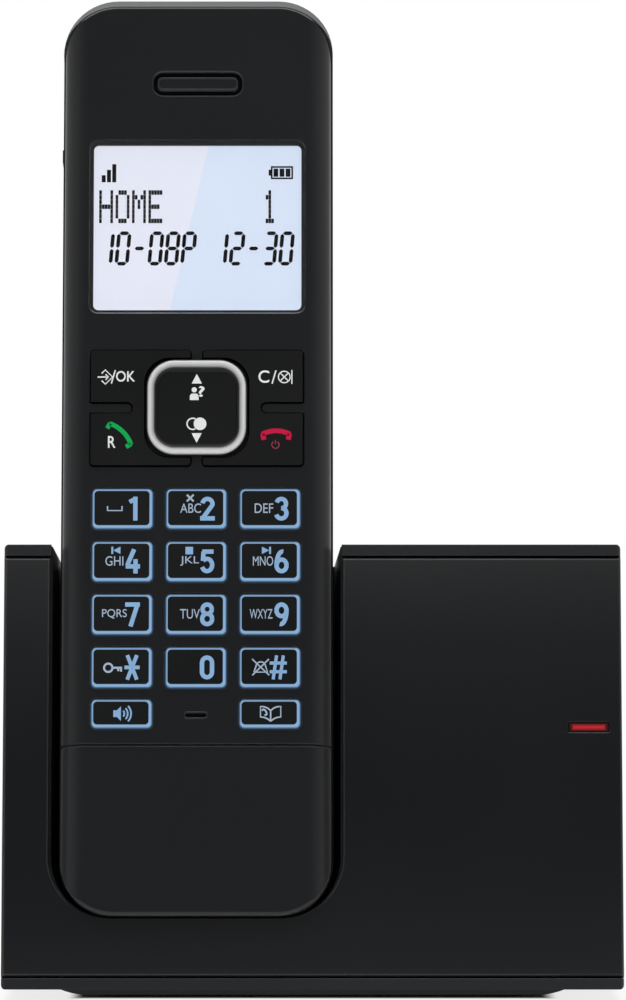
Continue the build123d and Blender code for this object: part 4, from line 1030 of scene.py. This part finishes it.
def dress_front():
    """A black print round the display, a sheet of painted shade in the earpiece trough, and rims
    painted pale as highlights.
    """
    low, high = span("display_lens", HAND)
    outer = round_box(*inset(low, high, PRINT_INSET), LENS_CORNER)
    inner = round_box(*inset(low, high, LENS_BORDER), LENS_CORNER - LENS_BORDER)
    edge = prism([outer, inner], low.z - PRINT_BEHIND - INK, low.z - PRINT_BEHIND)
    piece("display_print", edge, "handset", print_black)

    low, high = span("earpiece_grille", HAND)
    mid = (low + high) / 2
    trough = around(mid.x, mid.y, *TROUGH[:2])
    bed = prism([round_box(*inset(*trough, PRINT_INSET), TROUGH[2]),
                 round_box(*inset(low, high, -PRINT_INSET), INSERT_CORNER)],
                INK - TROUGH_DEPTH, 2 * INK - TROUGH_DEPTH)
    piece("trough_shade_sheet", bed, "handset", trough_shade)
    insert = rim(low, high, INSERT_RIM, RIM_RISE, INSERT_CORNER)
    insert.transform(at(0, 0, high.z))
    piece("earpiece_rim", insert, "handset", rim_highlight)
    lip = rim(*inset(*trough, -TROUGH_RIM), TROUGH_RIM, RIM_RISE, TROUGH[2] + TROUGH_RIM)
    mic = middle("microphone", HAND)
    slot = rim(*around(mid.x, mic.y, *SLOT), SLOT_RIM, RIM_RISE, SLOT[1] / 2)
    piece("trough_and_slot_rims", joined([(lip, Matrix()), (slot, Matrix())]), "handset",
          rim_highlight)


dress_front()
dress_keys()
dress_plates()
dress_ring()
dress_display()


# ---- floor, light and camera

SOLE_EDGE = 0.2  # height over which the sole's lowest face is found
FLOOR_GLOW = 0.8  # share of plain white in the floor close to the base
FLOOR_CLEAR = (-1.0, 2.0)  # from the sole's edge, where that share begins
FLOOR_REACH = 0.2  # and where, in metres, it is all white
FRONT = (0.0, -cos(radians(20.0)), sin(radians(20.0)))
# What reflections see: dark in front, paler towards the sides, white behind. The spreads are
# cosines from the front.
FRONT_SPREAD = (0.95, -0.05)
BEHIND_SPREAD = (-0.3, -0.97)
FRONT_LEVEL = 0.08
SIDE_LEVEL = 0.6
WORLD_LEVEL = 0.5  # of the light on matt surfaces
AIM = Vector((0, 0, 0.09))
LAMP_AT = Vector((0, 0.1, 1.2))
LAMP = {"shape": "RECTANGLE", "size": 2.0, "size_y": 1.6, "energy": 28.0}
VIEW_AT = (0.1, 87.6, 1.0)  # what the camera looks at, in the base's front plane from its edge
VIEW_RISE = radians(1.6)
VIEW_DISTANCE = 1.165
LENS = 234.8
EDGE = 2.0  # lower edge of the front above the table


def background_share(tree, others):
    """1 for rays that show the background: the camera's, those through glass, some glossy ones."""
    rays = add(tree, "ShaderNodeLightPath").outputs
    straight = sums(tree, rays["Is Camera Ray"], rays["Is Transmission Ray"], "MAXIMUM")
    glossy = sums(tree, rays["Is Glossy Ray"], others, "MULTIPLY")
    return sums(tree, straight, glossy, "MAXIMUM"), rays["Is Glossy Ray"]


def studio():
    """A pale floor, a soft lamp above, and a white surround that is dark in front."""
    bpy.ops.mesh.primitive_plane_add(size=12.0)
    floor = bpy.context.object
    floor.name = "floor"
    material, tree, shader = finish("floor_paper", Base_Color="#f4f4f4", Roughness=0.9)
    place = add(tree, "ShaderNodeTexCoord").outputs["Object"]
    sole = [v.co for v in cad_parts["base_bottom_plate"].data.vertices]
    bottom = min(v.z for v in sole)
    low, high = limits([v for v in sole if v.z < bottom + SOLE_EDGE * MM])
    off = vector_sums(tree, place, (low + high) / 2)[0]
    off = vector_sums(tree, vector_sums(tree, off, None, "ABSOLUTE")[0], (high - low) / 2)[0]
    off = add(tree, "ShaderNodeSeparateXYZ", {"Vector": off}).outputs
    distance = sums(tree, off["X"], off["Y"], "MAXIMUM")
    clear = ramp(tree, distance, *[d * MM for d in FLOOR_CLEAR], 0.0, 1.0, smooth=True)
    far = ramp(tree, distance, 0.0, FLOOR_REACH, FLOOR_GLOW, 1.0)
    far = sums(tree, clear, far, "MULTIPLY")
    seen = background_share(tree, 1.0)[0]
    share = sums(tree, seen, far, "MULTIPLY")
    glow = put(tree, "ShaderNodeEmission", {"Color": (1, 1, 1, 1), "Strength": 1.0})
    mix = put(tree, "ShaderNodeMixShader", {0: share, 1: shader.outputs[0], 2: glow})
    tree.links.new(mix, tree.nodes["Material Output"].inputs["Surface"])
    floor.data.materials.append(material)

    world = bpy.data.worlds.new("surround")
    world.use_nodes = True
    tree = world.node_tree
    scene.world = world
    direction = add(tree, "ShaderNodeTexCoord").outputs["Generated"]
    ahead = vector_sums(tree, direction, FRONT, "DOT_PRODUCT")["Value"]
    behind = ramp(tree, ahead, *BEHIND_SPREAD, 0.0, 1.0, smooth=True)
    seen, glossy = background_share(tree, behind)
    front = ramp(tree, ahead, *FRONT_SPREAD, FRONT_LEVEL, SIDE_LEVEL)
    room = put(tree, "ShaderNodeMix", {"Factor": glossy, "A": WORLD_LEVEL, "B": front})
    level = put(tree, "ShaderNodeMix", {"Factor": seen, "A": room, "B": 1.0})
    tree.links.new(level, tree.nodes["Background"].inputs["Strength"])
    tree.nodes["Background"].inputs["Color"].default_value = (1, 1, 1, 1)

    lamp = bpy.data.lights.new("top_softbox", "AREA")
    for name, value in LAMP.items():
        setattr(lamp, name, value)
    holder = bpy.data.objects.new("top_softbox", lamp)
    holder.location = LAMP_AT
    holder.rotation_euler = (AIM - LAMP_AT).to_track_quat("-Z", "Y").to_euler()
    scene.collection.objects.link(holder)


def camera():
    foot = Vector((0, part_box("base_housing")[0].y, EDGE * MM))
    aim = foot + slope.to_3x3() @ Vector(VIEW_AT)
    view = bpy.data.cameras.new("camera")
    view.lens = LENS
    view.sensor_width = 36.0
    eye = bpy.data.objects.new("camera", view)
    eye.location = aim + VIEW_DISTANCE * Vector((0, -cos(VIEW_RISE), sin(VIEW_RISE)))
    eye.rotation_euler = (pi / 2 - VIEW_RISE, 0, 0)
    scene.collection.objects.link(eye)
    scene.camera = eye


studio()
camera()
scene.view_settings.view_transform = "Standard"
